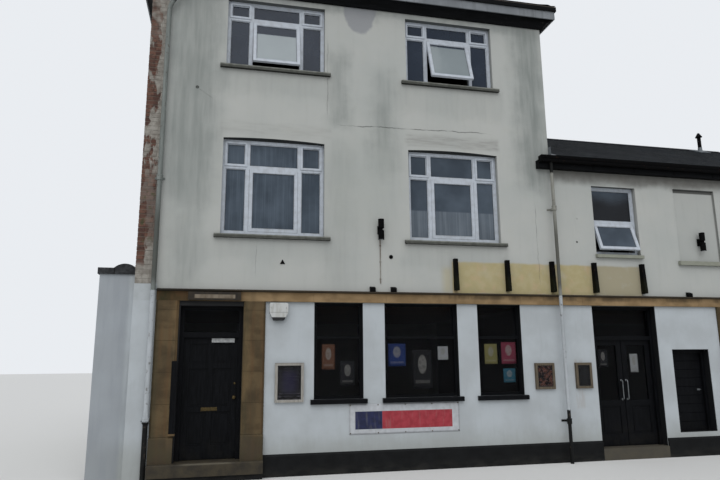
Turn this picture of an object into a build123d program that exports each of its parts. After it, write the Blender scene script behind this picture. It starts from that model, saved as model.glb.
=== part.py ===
"""Street hotel: a three-storey rendered block and a two-storey wing, flush at the pavement.

Lengths are millimetres. X runs along the street front, Y from the street to the back, Z up.
The sizes are laid out from the main block's front left corner at pavement level, and every
piece is shifted on export so that the origin is the middle of the ground under the whole thing.
"""
from build123d import *
from math import radians, tan
import os

# Main block
main_width = 7340.0
main_depth = 6800.0
wall_thickness = 330.0
main_wall_top = 8490.0
floor_thickness = 220.0
ground_floor_level = 270.0
first_floor_level = 2950.0
second_floor_level = 6050.0
roof_pitch = 30.0
roof_edge = 60.0
roof_depth = 200.0

# Wing
wing_width = 6860.0
wing_depth = 6000.0
wing_wall_top = 5500.0
wing_ground_floor_level = 200.0
wing_first_floor_level = 2950.0
wing_roof_pitch = 27.5
wing_roof_depth = 120.0

# Low wall that stands against the left side
side_wall_width = 560.0
side_wall_thickness = 300.0
side_wall_setback = 250.0
side_wall_height = 3150.0
coping_height = 100.0
coping_overhang = 30.0
coping_hump_width = 340.0
coping_hump_rise = 70.0

# Box cornice round the main block
cornice_bottom = 8200.0
cornice_projection = 200.0
cornice_foot = 45.0
cornice_hollow_reach = 54.0
cornice_hollow_rise = 88.0
moulding_height = 130.0
fascia_thickness = 22.0
cap_projection = 250.0
cap_height = 80.0

# Stone band and surround of the shop front
head_level = 2715.0
band_start = 350.0
band_height = 150.0
band_cap_height = 45.0
band_projection = 50.0
band_cap_projection = 105.0
band_cap_nose = 18.0
pilaster_projection = 60.0
pilaster_width = 350.0
pilaster_chamfer = 35.0
pilaster_base_height = 380.0
pilaster_base_projection = 18.0
pilaster_base_edge = 2.0
door_pilaster_gap = 20.0
wing_pilaster_gap = 270.0
plinth_height = 335.0
plinth_projection = 30.0

# Brick quoin left bare at the corner
quoin_width = 290.0
quoin_recess = 18.0
quoin_start = 2980.0

# Main entrance
door_x = 720.0
door_width = 980.0
door_head = 2640.0
door_leaf_height = 1880.0
door_transom_height = 70.0
step_bottom = 85.0
step_tread = 170.0
step_nosing = 18.0
base_course_setback = 40.0

# Wing double doors, measured from the main block's corner
wing_door_offset = 660.0
wing_door_width = 1335.0
wing_leaf_height = 1900.0
wing_transom_height = 60.0
leaf_glass_share = 0.42

# Small door of the wing
small_door_pier = 285.0
small_door_width = 800.0
small_door_sill = 420.0
small_door_head = 1915.0
small_door_boards = 9
board_joint = 7.0

# Door joinery
door_setback = 140.0
jamb_face = 50.0
stop_depth = 40.0
stop_width = 14.0
leaf_thickness = 45.0
leaf_gap = 8.0
meeting_gap = 12.0
stile_width = 105.0
bottom_rail = 210.0
panel_recess = 14.0
panel_field = 7.0
glazing_thickness = 12.0
hinge_radius = 11.0
knuckle_sides = 16
hinge_pin_radius = 6.0
hinge_play = 0.3
hinge_length = 110.0
hinge_flap = 42.0
hinge_flap_thickness = 4.0
hinge_cap = 5.0
main_hinge_shares = [0.12, 0.5, 0.88]
light_hinge_shares = [0.14, 0.86]

# Ground floor windows: the middle one fills what the piers leave
first_window_pier = 1150.0
side_window_width = 825.0
window_pier = 375.0
end_pier = 780.0
wing_last_pier = 860.0
ground_sill_level = 1150.0
ground_window_setback = 90.0
ground_frame_face = 45.0
ground_transom_level = 2140.0
ground_sill_height = 75.0
ground_sill_projection = 60.0
ground_sill_lap = 55.0
ground_sill_chamfer = 15.0

# Upper windows
upper_window_width = 1730.0
upper_left_pier = 1280.0
upper_right_pier = 1070.0
first_sill_level = 3840.0
first_window_height = 1650.0
second_sill_level = 6840.0
second_window_height = 1260.0
side_light_width = 420.0
top_light_height = 480.0
second_top_light_height = 330.0
window_setback = 95.0
frame_depth = 70.0
frame_face = 52.0
mullion_width = 58.0
fanlight_rim = 34.0
fanlight_proud = 14.0
sash_face = 48.0
sash_depth = 50.0
sash_play = 4.0
hinge_line_gap = 0.3
left_sash_angle = 12.0
right_sash_angle = 17.0
sill_height = 80.0
sill_projection = 65.0
sill_lap = 100.0
wing_sill_lap = 25.0
sill_fall = 20.0
sill_nosing_fall = 12.0
blocked_sill_lap = 50.0
head_rise = 30.0

# Wing windows
wing_window_offset = 860.0
wing_window_width = 955.0
wing_window_sill = 3700.0
wing_window_height = 1320.0
wing_transom_drop = 690.0
wing_sash_angle = 19.0
blocked_window_offset = 2680.0
blocked_window_width = 950.0
blocked_window_sill = 3600.0
blocked_window_height = 1450.0
blocked_recess = 30.0

# Eaves of the wing
wing_eaves_overlap = 280.0
wing_fascia_drop = 210.0
wing_fascia_projection = 110.0
gutter_width = 130.0
gutter_height = 120.0
gutter_wall = 9.0
gutter_belly = 28.0
gutter_waist = 54.0
gutter_lip = 8.0
gutter_lip_rise = 74.0

# Rainwater pipes
pipe_radius = 38.0
wing_pipe_radius = 30.0
pipe_wall_gap = 28.0
pipe_side_gap = 3.0
pipe_socket_rim = 12.0
pipe_socket_height = 90.0
pipe_ear = 30.0
neck_offset = 210.0
neck_straight = 120.0
neck_drop = 300.0
left_socket_levels = [900.0, 4700.0]
wing_pipe_offset = 42.0
outlet_gap = 2.0
wing_socket_levels = [700.0, 4500.0]

# Sign brackets, measured from the main block's corner, and what else is fixed to the front
sign_bracket_offsets = [-1988.0, -1000.0, -112.0, 755.0, 1776.0]
sign_bracket_lift = 40.0
sign_bracket_clearance = 10.0
sign_bracket_width = 66.0
sign_bracket_depth = 110.0
sign_bracket_neck = 82.0
sign_bracket_foot = 60.0
light_box_margin = 110.0
light_box_width = 820.0
light_box_height = 130.0
light_box_depth = 45.0
light_box_lift = 10.0
wall_light_share = 0.64
wall_light_level = 3800.0
blocked_light_offset = 500.0
blocked_light_level = 3810.0
wall_light_height = 360.0
wall_light_radius = 52.0
wall_light_waist_height = 44.0
wall_light_standoff = 45.0
wall_light_arm = 44.0
wall_light_plate = 90.0
wall_light_plate_height = 144.0
wall_light_plate_depth = 10.0
band_lamp_left = [3840.0, 4210.0]
band_lamp_wing_offset = 2765.0
band_lamp_width = 90.0
band_lamp_depth = 75.0
band_lamp_height = 85.0
alarm_x = 2260.0
alarm_bottom = 2410.0
alarm_height = 285.0
alarm_top_width = 300.0
alarm_foot_width = 170.0
alarm_shoulder = 128.0
alarm_depth = 85.0
alarm_rounding = 24.0
large_board_x = 2220.0
large_board_level = 1117.0
large_board_width = 460.0
large_board_height = 617.0
small_board_level = 1240.0
small_board_height = 450.0
end_board_offset = 570.0
end_board_width = 370.0
wing_board_offset = 220.0
wing_board_width = 320.0
menu_board_depth = 45.0
menu_frame_face = 42.0
menu_panel_recess = 18.0
jamb_board_width = 85.0
jamb_board_bottom = 700.0
jamb_board_height = 1080.0
jamb_board_depth = 30.0
vent_end_distance = 850.0
vent_ridge_distance = 300.0
vent_height = 430.0
vent_sink = 60.0
vent_radius = 45.0
vent_cowl_radius = 85.0
vent_cowl_height = 110.0
vent_clearance = 20.0

# Worked out from the sizes above
wing_door_x = main_width + wing_door_offset
wing_window_x = main_width + wing_window_offset
blocked_window_x = main_width + blocked_window_offset
wing_pipe_x = main_width - wing_pipe_offset
sign_bracket_x = [main_width + offset for offset in sign_bracket_offsets]
light_box_x = door_x + light_box_margin
upper_window_x = [upper_left_pier, main_width - upper_right_pier - upper_window_width]
total_width = main_width + wing_width
band_top = head_level + band_height + band_cap_height
inner_left = wall_thickness
inner_right = main_width - wall_thickness
inner_back = main_depth - wall_thickness
door_right = door_x + door_width
wing_door_right = wing_door_x + wing_door_width
small_door_x = wing_door_right + small_door_pier
small_door_right = small_door_x + small_door_width
wing_pilaster_x = small_door_right + wing_pilaster_gap
first_window_x = door_right + first_window_pier
middle_window_x = first_window_x + side_window_width + window_pier
third_window_x = main_width - end_pier - side_window_width
last_window_x = wing_pilaster_x + pilaster_width + wing_last_pier
ground_windows = [(first_window_x, side_window_width),
                  (middle_window_x, third_window_x - window_pier - middle_window_x),
                  (third_window_x, side_window_width), (last_window_x, side_window_width)]
glass_y = window_setback + frame_depth / 2
cap_top = main_wall_top + cap_height
wing_slope = tan(radians(wing_roof_pitch))
main_slope = tan(radians(roof_pitch))
left_pipe_x = band_start - pipe_radius - pipe_socket_rim - pipe_side_gap
jamb_depth = stop_depth + leaf_gap + leaf_thickness
rear_windows = [(x, upper_window_width, first_sill_level, first_window_height) for x in upper_window_x]
rear_windows += [(x, upper_window_width, second_sill_level, second_window_height) for x in upper_window_x]
rear_windows += [(x + (upper_window_width - side_window_width) / 2, side_window_width,
                  ground_sill_level, head_level - ground_sill_level) for x in upper_window_x]
mirrored_window_x = 2 * blocked_window_x + blocked_window_width - wing_window_x - wing_window_width
wing_window_places = [wing_window_x, mirrored_window_x]
left_extent = side_wall_width + coping_overhang
origin_x = (total_width - left_extent) / 2
origin_y = max(main_depth, wing_depth) / 2
nodes = {}


def block(x0, x1, y0, y1, z0, z1):
    """A rectangular solid between two opposite corners."""
    return Pos(x0, y0, z0) * Box(x1 - x0, y1 - y0, z1 - z0, align=(Align.MIN, Align.MIN, Align.MIN))


def outline_along_x(points, x0, x1):
    """A closed outline of (y, z) points carried from x0 to x1."""
    face = make_face(Plane.YZ * Polyline(*points, close=True))
    return Pos(x0, 0, 0) * extrude(face, amount=x1 - x0, dir=(1, 0, 0))


def outline_along_y(points, y0, y1):
    """A closed outline of (x, z) points carried from y0 to y1."""
    vertices = [Vector(x, y0, z) for x, z in points]
    return extrude(make_face(Polyline(*vertices, close=True)), amount=y1 - y0, dir=(0, 1, 0))


def plan_prism(points, z0, z1):
    """A closed plan outline of (x, y) points raised from z0 to z1."""
    vertices = [Vector(x, y, z0) for x, y in points]
    return extrude(make_face(Polyline(*vertices, close=True)), amount=z1 - z0, dir=(0, 0, 1))


def cambered_hole(x, width, z, height, y0, y1):
    """A window hole whose head rises in a flat arc."""
    left = Vector(x, y0, z)
    right = Vector(x + width, y0, z)
    right_top = Vector(x + width, y0, z + height)
    left_top = Vector(x, y0, z + height)
    crown = Vector(x + width / 2, y0, z + height + head_rise)
    edges = [Line(left, right), Line(right, right_top), ThreePointArc(right_top, crown, left_top),
             Line(left_top, left)]
    return extrude(make_face(Curve() + edges), amount=y1 - y0, dir=(0, 1, 0))


def keep(name, *solids):
    """Store the solids of one node."""
    nodes[name] = list(solids)


# Piers beside the doorways, and the walling over and under them
keep("wall_piers",
     block(0, door_x, 0, wall_thickness, 0, head_level),
     block(main_width, wing_door_x, 0, wall_thickness, 0, head_level),
     block(wing_door_right, small_door_x, 0, wall_thickness, 0, head_level))
keep("doorway_walling",
     block(door_x, door_right, 0, wall_thickness, door_head, head_level),
     block(small_door_x, small_door_right, 0, wall_thickness, small_door_head, head_level),
     block(small_door_x, small_door_right, 0, wall_thickness, 0, small_door_sill))

# Front walls of the main block
shop_wall = block(door_right, main_width, 0, wall_thickness, 0, head_level)
for left, width in ground_windows[:3]:
    shop_wall -= block(left, left + width, 0, wall_thickness, ground_sill_level, head_level)
keep("front_wall_ground", shop_wall)

upper_wall = block(0, main_width, 0, wall_thickness, head_level, main_wall_top)
upper_wall -= block(0, quoin_width, 0, wall_thickness, quoin_start, cornice_bottom)
for left in upper_window_x:
    upper_wall -= cambered_hole(left, upper_window_width, first_sill_level - sill_height,
                                first_window_height + sill_height, 0, window_setback)
    upper_wall -= block(left, left + upper_window_width, window_setback, wall_thickness,
                        first_sill_level - sill_height, first_sill_level + first_window_height)
    upper_wall -= block(left, left + upper_window_width, 0, wall_thickness,
                        second_sill_level - sill_height, second_sill_level + second_window_height)
keep("front_wall_upper", upper_wall)
keep("brick_quoin", block(0, quoin_width, quoin_recess, wall_thickness, quoin_start, cornice_bottom))

# Side and back walls of the main block
keep("main_side_walls",
     block(0, wall_thickness, wall_thickness, inner_back, 0, main_wall_top),
     block(inner_right, main_width, wall_thickness, inner_back, 0, main_wall_top))
rear_wall = block(0, main_width, inner_back, main_depth, 0, main_wall_top)
for left, width, level, height in rear_windows:
    rear_wall -= block(left, left + width, inner_back, main_depth, level - sill_height, level + height)
keep("rear_wall", rear_wall)

# Floors, the main block's between its walls and the wing's against the main block
wing_back = wing_depth - wall_thickness
wing_inner_right = total_width - wall_thickness
keep("ground_floors",
     block(inner_left, inner_right, wall_thickness, inner_back, 0, ground_floor_level),
     block(main_width, wing_inner_right, wall_thickness, wing_back, 0, wing_ground_floor_level))
upper_floors = [block(inner_left, inner_right, wall_thickness, inner_back, level - floor_thickness, level)
                for level in (first_floor_level, second_floor_level)]
upper_floors.append(block(main_width, wing_inner_right, wall_thickness, wing_back,
                          wing_first_floor_level - floor_thickness, wing_first_floor_level))
keep("upper_floors", *upper_floors)

# Walls of the wing
right_wall = block(small_door_right, total_width, 0, wall_thickness, 0, head_level)
last_left, last_width = ground_windows[3]
right_wall -= block(last_left, last_left + last_width, 0, wall_thickness, ground_sill_level, head_level)
keep("wing_wall_right", right_wall)
plate_top = wing_wall_top + wall_thickness * wing_slope
wing_upper = outline_along_x([(0, head_level), (0, wing_wall_top), (wall_thickness, plate_top),
                              (wall_thickness, head_level)], main_width, total_width)
for left in wing_window_places:
    wing_upper -= block(left, left + wing_window_width, 0, wall_thickness,
                        wing_window_sill - sill_height, wing_window_sill + wing_window_height)
wing_upper -= block(blocked_window_x, blocked_window_x + blocked_window_width, 0, blocked_recess,
                    blocked_window_sill, blocked_window_sill + blocked_window_height)
keep("wing_wall_upper", wing_upper)

rear_wing = outline_along_x([(wing_depth, 0), (wing_depth, wing_wall_top), (wing_back, plate_top),
                             (wing_back, 0)], main_width, total_width)
for left in wing_window_places:
    rear_wing -= block(left, left + wing_window_width, wing_back, wing_depth,
                       wing_window_sill - sill_height, wing_window_sill + wing_window_height)
keep("wing_rear_wall", rear_wing)
gable_ridge = wing_wall_top + wing_depth / 2 * wing_slope
gable = [(wall_thickness, 0), (wing_back, 0), (wing_back, plate_top), (wing_depth / 2, gable_ridge),
         (wall_thickness, plate_top)]
keep("wing_party_wall", outline_along_x(gable, wing_inner_right, total_width))

# Low wall on the left, with its coping raised in a flat hump
side_back = side_wall_setback + side_wall_thickness
keep("side_wall", block(-side_wall_width, 0, side_wall_setback, side_back, 0, side_wall_height))
coping_left = -side_wall_width - coping_overhang
coping_top = side_wall_height + coping_height
hump_left = -side_wall_width / 2 - coping_hump_width / 2 + sill_lap
hump_right = hump_left + coping_hump_width
coping_front = side_wall_setback - coping_overhang
coping_path = Curve() + [
    Line((coping_left, coping_front, side_wall_height), (0, coping_front, side_wall_height)),
    Line((0, coping_front, side_wall_height), (0, coping_front, coping_top)),
    Line((0, coping_front, coping_top), (hump_right, coping_front, coping_top)),
    ThreePointArc((hump_right, coping_front, coping_top),
                  ((hump_left + hump_right) / 2, coping_front, coping_top + coping_hump_rise),
                  (hump_left, coping_front, coping_top)),
    Line((hump_left, coping_front, coping_top), (coping_left, coping_front, coping_top)),
    Line((coping_left, coping_front, coping_top), (coping_left, coping_front, side_wall_height)),
]
keep("side_wall_coping",
     extrude(make_face(coping_path), amount=side_wall_thickness + 2 * coping_overhang, dir=(0, 1, 0)))


# Cornice: one moulded profile on each side, mitred at the four corners
def cornice_profile():
    """Soffit moulding, board face and cap, as a face in the plane across the run."""
    lip = cornice_bottom + moulding_height
    foot = Vector(0, -cornice_foot, cornice_bottom)
    lip_edge = Vector(0, -cornice_projection, lip)
    hollow = Vector(0, -cornice_foot - cornice_hollow_reach, cornice_bottom + cornice_hollow_rise)
    board_top = Vector(0, -cornice_projection, main_wall_top)
    cap_edge = Vector(0, -cap_projection, main_wall_top)
    cap_lip = Vector(0, -cap_projection, cap_top)
    cap_back = Vector(0, wall_thickness, cap_top)
    wall_back = Vector(0, wall_thickness, main_wall_top)
    wall_face = Vector(0, 0, main_wall_top)
    wall_foot = Vector(0, 0, cornice_bottom)
    edges = [Line(wall_foot, foot), ThreePointArc(foot, hollow, lip_edge), Line(lip_edge, board_top),
             Line(board_top, cap_edge), Line(cap_edge, cap_lip), Line(cap_lip, cap_back),
             Line(cap_back, wall_back), Line(wall_back, wall_face), Line(wall_face, wall_foot)]
    return make_face(Curve() + edges)


def mitred(solid, length, z0, z1):
    """Trim a run of the given length with 45 degree cuts through both corners."""
    out = cap_projection + fascia_thickness
    inward = wall_thickness
    plan = [(-out, -out), (length + out, -out), (length - inward, inward), (inward, inward)]
    return solid & plan_prism(plan, z0, z1)


def side_places():
    """Where each side's run starts, how it is turned and how long it is."""
    return {
        "front": (Location((0, 0, 0)), main_width),
        "right": (Location((main_width, 0, 0), (0, 0, 90)), main_depth),
        "rear": (Location((main_width, main_depth, 0), (0, 0, 180)), main_width),
        "left": (Location((0, main_depth, 0), (0, 0, 270)), main_depth),
    }


runs = {}
for side, (place, length) in side_places().items():
    run = Pos(-cap_projection, 0, 0) * extrude(cornice_profile(), amount=length + 2 * cap_projection,
                                               dir=(1, 0, 0))
    runs[side] = place * mitred(run, length, cornice_bottom, cap_top)
keep("cornice_front_and_rear", runs["front"], runs["rear"])
keep("cornice_sides", runs["left"], runs["right"])

fascia_bottom = cornice_bottom + moulding_height
fascia_out = cornice_projection + fascia_thickness
fascia_ring = block(-fascia_out, main_width + fascia_out, -fascia_out, main_depth + fascia_out,
                    fascia_bottom, main_wall_top)
fascia_ring -= block(-cornice_projection, main_width + cornice_projection, -cornice_projection,
                     main_depth + cornice_projection, fascia_bottom, main_wall_top)
keep("cornice_fascia", fascia_ring)


# Hipped roof of the main block
def hip_solid(base, inset):
    """The solid under four equal slopes that start inset from the cap's edge."""
    left = inset - cap_projection
    right = main_width + cap_projection - inset
    front = inset - cap_projection
    back = main_depth + cap_projection - inset
    rise_y = (back - front) / 2 * main_slope
    rise_x = (right - left) / 2 * main_slope
    across = outline_along_x([(front, base), (back, base), ((front + back) / 2, base + rise_y)], left, right)
    along = outline_along_y([(left, base), (right, base), ((left + right) / 2, base + rise_x)], front, back)
    return across & along


roof_shell = hip_solid(cap_top + roof_edge, 0)
roof_shell += block(-cap_projection, main_width + cap_projection, -cap_projection,
                    main_depth + cap_projection, cap_top, cap_top + roof_edge)
roof_foot = (roof_depth - roof_edge) / main_slope
roof_shell -= hip_solid(cap_top, roof_foot)
half_span = min(main_width, main_depth) / 2 + cap_projection
roof_right = main_width + cap_projection
roof_back = main_depth + cap_projection
corners = [(-cap_projection, -cap_projection), (roof_right, -cap_projection), (roof_right, roof_back),
           (-cap_projection, roof_back)]
ridge_start = (half_span - cap_projection, half_span - cap_projection)
ridge_end = (roof_right - half_span, roof_back - half_span)
long_front = main_width > main_depth
slopes = {
    "front": [corners[0], corners[1]] + ([ridge_end, ridge_start] if long_front else [ridge_start]),
    "right": [corners[1], corners[2]] + ([ridge_end] if long_front else [ridge_end, ridge_start]),
    "rear": [corners[2], corners[3]] + ([ridge_start, ridge_end] if long_front else [ridge_end]),
    "left": [corners[3], corners[0]] + ([ridge_start] if long_front else [ridge_start, ridge_end]),
}
roof_reach = cap_top + roof_depth + half_span * main_slope
slabs = {side: roof_shell & plan_prism(plan, cap_top, roof_reach) for side, plan in slopes.items()}
keep("main_roof_front", slabs["front"])
keep("main_roof_rear", slabs["rear"])
keep("main_roof_hips", slabs["left"], slabs["right"])

# Gabled roof of the wing, with its fascia and moulded gutter
eaves_y = -wing_fascia_projection
wing_ridge_y = wing_depth / 2
for name, sign in (("wing_roof_front", 1), ("wing_roof_rear", -1)):
    edge = eaves_y if sign == 1 else wing_depth - eaves_y
    low = wing_wall_top + eaves_y * wing_slope
    slab = [(edge, low), (wing_ridge_y, gable_ridge), (wing_ridge_y, gable_ridge + wing_roof_depth),
            (edge, low + wing_roof_depth)]
    keep(name, outline_along_x(slab, main_width, total_width))

eaves_left = main_width - wing_eaves_overlap
fascia_top = wing_wall_top + eaves_y * wing_slope
fascia_low = wing_wall_top - wing_fascia_drop
keep("wing_fascia", block(eaves_left, total_width, eaves_y, 0, fascia_low, fascia_top))


def gutter_profile(inset):
    """Ogee gutter section: flat back, swelling front; inset draws the inner face."""
    back = eaves_y - inset
    front = eaves_y - gutter_width + inset
    base = fascia_top - gutter_height / 2 + inset
    top = base + gutter_height - inset
    start = Vector(0, back, base)
    foot = Vector(0, (back + front) / 2, base)
    waist = Vector(0, front + gutter_belly, base + gutter_waist)
    edges = [Line(start, foot), TangentArc(foot, waist, tangent=(0, -1, 0)),
             ThreePointArc(waist, Vector(0, front + gutter_lip, base + gutter_lip_rise),
                           Vector(0, front, top)),
             Line(Vector(0, front, top), Vector(0, back, top)), Line(Vector(0, back, top), start)]
    return make_face(Curve() + edges)


gutter_length = total_width - eaves_left
gutter = extrude(gutter_profile(0), amount=gutter_length, dir=(1, 0, 0))
trough = extrude(gutter_profile(gutter_wall), amount=gutter_length - 2 * gutter_wall, dir=(1, 0, 0))
gutter = Pos(eaves_left, 0, 0) * (gutter - Pos(gutter_wall, 0, 0) * trough)
keep("wing_gutter", gutter)

# Stone band with its weathered cap
band_points = [(0, head_level), (-band_projection, head_level), (-band_projection, head_level + band_height),
               (-band_cap_projection, head_level + band_height + band_cap_nose / 2),
               (-band_cap_projection, head_level + band_height + band_cap_nose * 3 / 2), (0, band_top)]
keep("storey_band", outline_along_x(band_points, band_start, total_width))


# Pilasters with chamfered edges and base blocks
def pilaster(x, foot):
    """One pilaster that rises from foot to the underside of the band."""
    shaft = block(x, x + pilaster_width, -pilaster_projection, 0, foot, head_level)
    shaft = chamfer(shaft.edges().filter_by(Axis.Z).group_by(Axis.Y)[0], pilaster_chamfer)
    out = pilaster_base_projection
    base = block(x, x + pilaster_width, -pilaster_projection - out, 0, foot, foot + pilaster_base_height)
    top_edge = base.edges().filter_by(Axis.X).group_by(Axis.Z)[-1].sort_by(Axis.Y)[0]
    return shaft + chamfer(top_edge, out - pilaster_base_edge)


left_pilaster_x = door_x - pilaster_width - door_pilaster_gap
keep("pilasters", pilaster(left_pilaster_x, ground_floor_level), pilaster(door_right, ground_floor_level),
     pilaster(wing_pilaster_x, 0))

# Entrance step on its dark base course, carried through the wall as the threshold
step_left = left_pilaster_x
step_right = door_right + pilaster_width
step = block(step_left, step_right, -step_tread, 0, step_bottom, ground_floor_level)
step = fillet(step.edges().filter_by(Axis.X).group_by(Axis.Z)[-1].sort_by(Axis.Y)[0], step_nosing)
step += block(door_x, door_right, 0, wall_thickness, step_bottom, ground_floor_level)
wing_sill = block(wing_door_x, wing_door_right, -plinth_projection, wall_thickness, 0,
                  wing_ground_floor_level)
keep("door_steps", step, wing_sill)
base_course = block(step_left, step_right, base_course_setback - step_tread, 0, 0, step_bottom)
base_course += block(door_x, door_right, 0, wall_thickness, 0, step_bottom)

# Painted plinth between the doors
plinth_runs = [(step_right, wing_door_x), (wing_door_right, wing_pilaster_x),
               (wing_pilaster_x + pilaster_width, total_width)]
plinths = []
for x0, x1 in plinth_runs:
    outline = [(0, 0), (-plinth_projection, 0), (-plinth_projection, plinth_height - plinth_projection),
               (0, plinth_height)]
    plinths.append(outline_along_x(outline, x0, x1))
plinths[0] += base_course
keep("front_plinth", *plinths)


# Upper windows: three lights wide, each with a top light, in a welded plastic frame
def upper_lights(width, height, top_height):
    """The light openings of one frame, as (x0, x1, z0, z1) from its lower left corner."""
    half = mullion_width / 2
    columns = [(frame_face, side_light_width - half),
               (side_light_width + half, width - side_light_width - half),
               (width - side_light_width + half, width - frame_face)]
    rows = [(frame_face, height - top_height - half), (height - top_height + half, height - frame_face)]
    return [(c[0], c[1], r[0], r[1]) for r in rows for c in columns]


def upper_frame(x, z, height, top_height):
    """Frame with mullions, transoms and the raised rims of the two small top lights."""
    lights = upper_lights(upper_window_width, height, top_height)
    y0 = window_setback
    y1 = window_setback + frame_depth
    frame = block(x, x + upper_window_width, y0, y1, z, z + height)
    for index in (3, 5):
        x0, x1, z0, z1 = lights[index]
        frame += block(x + x0 - fanlight_rim / 2, x + x1 + fanlight_rim / 2, y0 - fanlight_proud, y0,
                       z + z0 - fanlight_rim / 2, z + z1 + fanlight_rim / 2)
    for index, (x0, x1, z0, z1) in enumerate(lights):
        inset = fanlight_rim / 2 if index in (3, 5) else 0
        frame -= block(x + x0 + inset, x + x1 - inset, y0 - fanlight_proud, y1,
                       z + z0 + inset, z + z1 - inset)
    return frame


def upper_panes(x, z, height, top_height, skip=()):
    """One pane in each light that has fixed glass."""
    panes = []
    for index, (x0, x1, z0, z1) in enumerate(upper_lights(upper_window_width, height, top_height)):
        if index in skip:
            continue
        inset = fanlight_rim / 2 if index in (3, 5) else 0
        panes.append(block(x + x0 + inset, x + x1 - inset, glass_y - glazing_thickness / 2,
                           glass_y + glazing_thickness / 2, z + z0 + inset, z + z1 - inset))
    return panes


def sash_at(x0, x1, z0, z1, front, angle):
    """A top-hung sash, its rail ring and pane, turned out about its top front edge."""
    low = z0 + sash_play
    high = z1 - hinge_line_gap
    left = x0 + sash_play
    right = x1 - sash_play
    ring = block(left, right, front, front + sash_depth, low, high)
    ring -= block(left + sash_face, right - sash_face, front, front + sash_depth,
                  low + sash_face, high - sash_face)
    mid = front + sash_depth / 2
    pane = block(left + sash_face, right - sash_face, mid - glazing_thickness / 2,
                 mid + glazing_thickness / 2, low + sash_face, high - sash_face)
    hinge = Axis((0, front, high), (1, 0, 0))
    return ring.rotate(hinge, -angle), pane.rotate(hinge, -angle)


closed_frames = [upper_frame(x, first_sill_level, first_window_height, top_light_height)
                 for x in upper_window_x]
open_frames = [upper_frame(x, second_sill_level, second_window_height, second_top_light_height)
               for x in upper_window_x]
panes = []
centre_light = 1
for x in upper_window_x:
    panes += upper_panes(x, first_sill_level, first_window_height, top_light_height, (centre_light,))
    panes += upper_panes(x, second_sill_level, second_window_height, second_top_light_height, (centre_light,))

sashes = []
first_light = upper_lights(upper_window_width, first_window_height, top_light_height)[centre_light]
second_light = upper_lights(upper_window_width, second_window_height, second_top_light_height)[centre_light]
for x, angle in zip(upper_window_x, (left_sash_angle, right_sash_angle)):
    x0, x1, z0, z1 = first_light
    ring, pane = sash_at(x + x0, x + x1, first_sill_level + z0, first_sill_level + z1, window_setback, 0)
    sashes.append(ring)
    panes.append(pane)
    x0, x1, z0, z1 = second_light
    ring, pane = sash_at(x + x0, x + x1, second_sill_level + z0, second_sill_level + z1, window_setback,
                         angle)
    sashes.append(ring)
    panes.append(pane)


# Wing windows: a fixed upper light over a top-hung sash
def wing_frame(x):
    """Frame of one wing window, and the openings of its lower and upper lights."""
    top = wing_window_sill + wing_window_height
    split = top - wing_transom_drop
    half = mullion_width / 2
    lower = (x + frame_face, x + wing_window_width - frame_face, wing_window_sill + frame_face, split - half)
    upper = (x + frame_face, x + wing_window_width - frame_face, split + half, top - frame_face)
    frame = block(x, x + wing_window_width, window_setback, window_setback + frame_depth,
                  wing_window_sill, top)
    for x0, x1, z0, z1 in (lower, upper):
        frame -= block(x0, x1, window_setback, window_setback + frame_depth, z0, z1)
    return frame, lower, upper


for x, angle, frames in zip(wing_window_places, (wing_sash_angle, 0), (open_frames, closed_frames)):
    frame, lower, upper = wing_frame(x)
    frames.append(frame)
    panes.append(block(upper[0], upper[1], glass_y - glazing_thickness / 2, glass_y + glazing_thickness / 2,
                       upper[2], upper[3]))
    ring, pane = sash_at(*lower, window_setback, angle)
    sashes.append(ring)
    panes.append(pane)
keep("open_window_frames", *open_frames)
keep("window_sashes", *sashes)


# Back windows: plain frames with one pane each
def rear_window(x, width, z, height, outer_face):
    """Frame and pane of a back window, set back from the wall's outer face."""
    y1 = outer_face - window_setback
    y0 = y1 - frame_depth
    middle = (y0 + y1) / 2
    frame = block(x, x + width, y0, y1, z, z + height)
    frame -= block(x + frame_face, x + width - frame_face, y0, y1, z + frame_face, z + height - frame_face)
    pane = block(x + frame_face, x + width - frame_face, middle - glazing_thickness / 2,
                 middle + glazing_thickness / 2, z + frame_face, z + height - frame_face)
    return frame, pane


rear_places = [(*window, main_depth) for window in rear_windows]
rear_places += [(x, wing_window_width, wing_window_sill, wing_window_height, wing_depth)
                for x in wing_window_places]
for place in rear_places:
    frame, pane = rear_window(*place)
    closed_frames.append(frame)
    panes.append(pane)
keep("closed_window_frames", *closed_frames)
keep("upper_glass", *panes)


# Stone sills, weathered on top, built into the wall under each frame
def stone_sill(x, width, level, face, outward, lap=sill_lap):
    """One sill; outward is -1 on the front and 1 on the back, and lap is its reach beside the window."""
    nose = face + outward * sill_projection
    back = face - outward * wall_thickness
    front_of_frame = face - outward * window_setback
    inner = [(nose, level - sill_height), (front_of_frame, level - sill_height),
             (front_of_frame, level), (nose, level - sill_fall)]
    nosing = [(nose, level - sill_height), (face, level - sill_height), (face, level - sill_nosing_fall),
              (nose, level - sill_fall)]
    bed = [(front_of_frame, level - sill_height), (back, level - sill_height), (back, level),
           (front_of_frame, level)]
    body = outline_along_x(inner, x, x + width) + outline_along_x(bed, x, x + width)
    return body + outline_along_x(nosing, x - lap, x + width + lap)


front_sills = [stone_sill(x, upper_window_width, level, 0, -1) for x in upper_window_x
               for level in (first_sill_level, second_sill_level)]
front_sills += [stone_sill(x, wing_window_width, wing_window_sill, 0, -1, wing_sill_lap)
                for x in wing_window_places]
blocked_sill = block(blocked_window_x - blocked_sill_lap,
                     blocked_window_x + blocked_window_width + blocked_sill_lap, -sill_projection, 0,
                     blocked_window_sill - sill_height, blocked_window_sill)
rear_sills = [stone_sill(x, width, level, face, 1) for x, width, level, height, face in rear_places]
keep("stone_sills", *front_sills, blocked_sill, *rear_sills)

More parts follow.
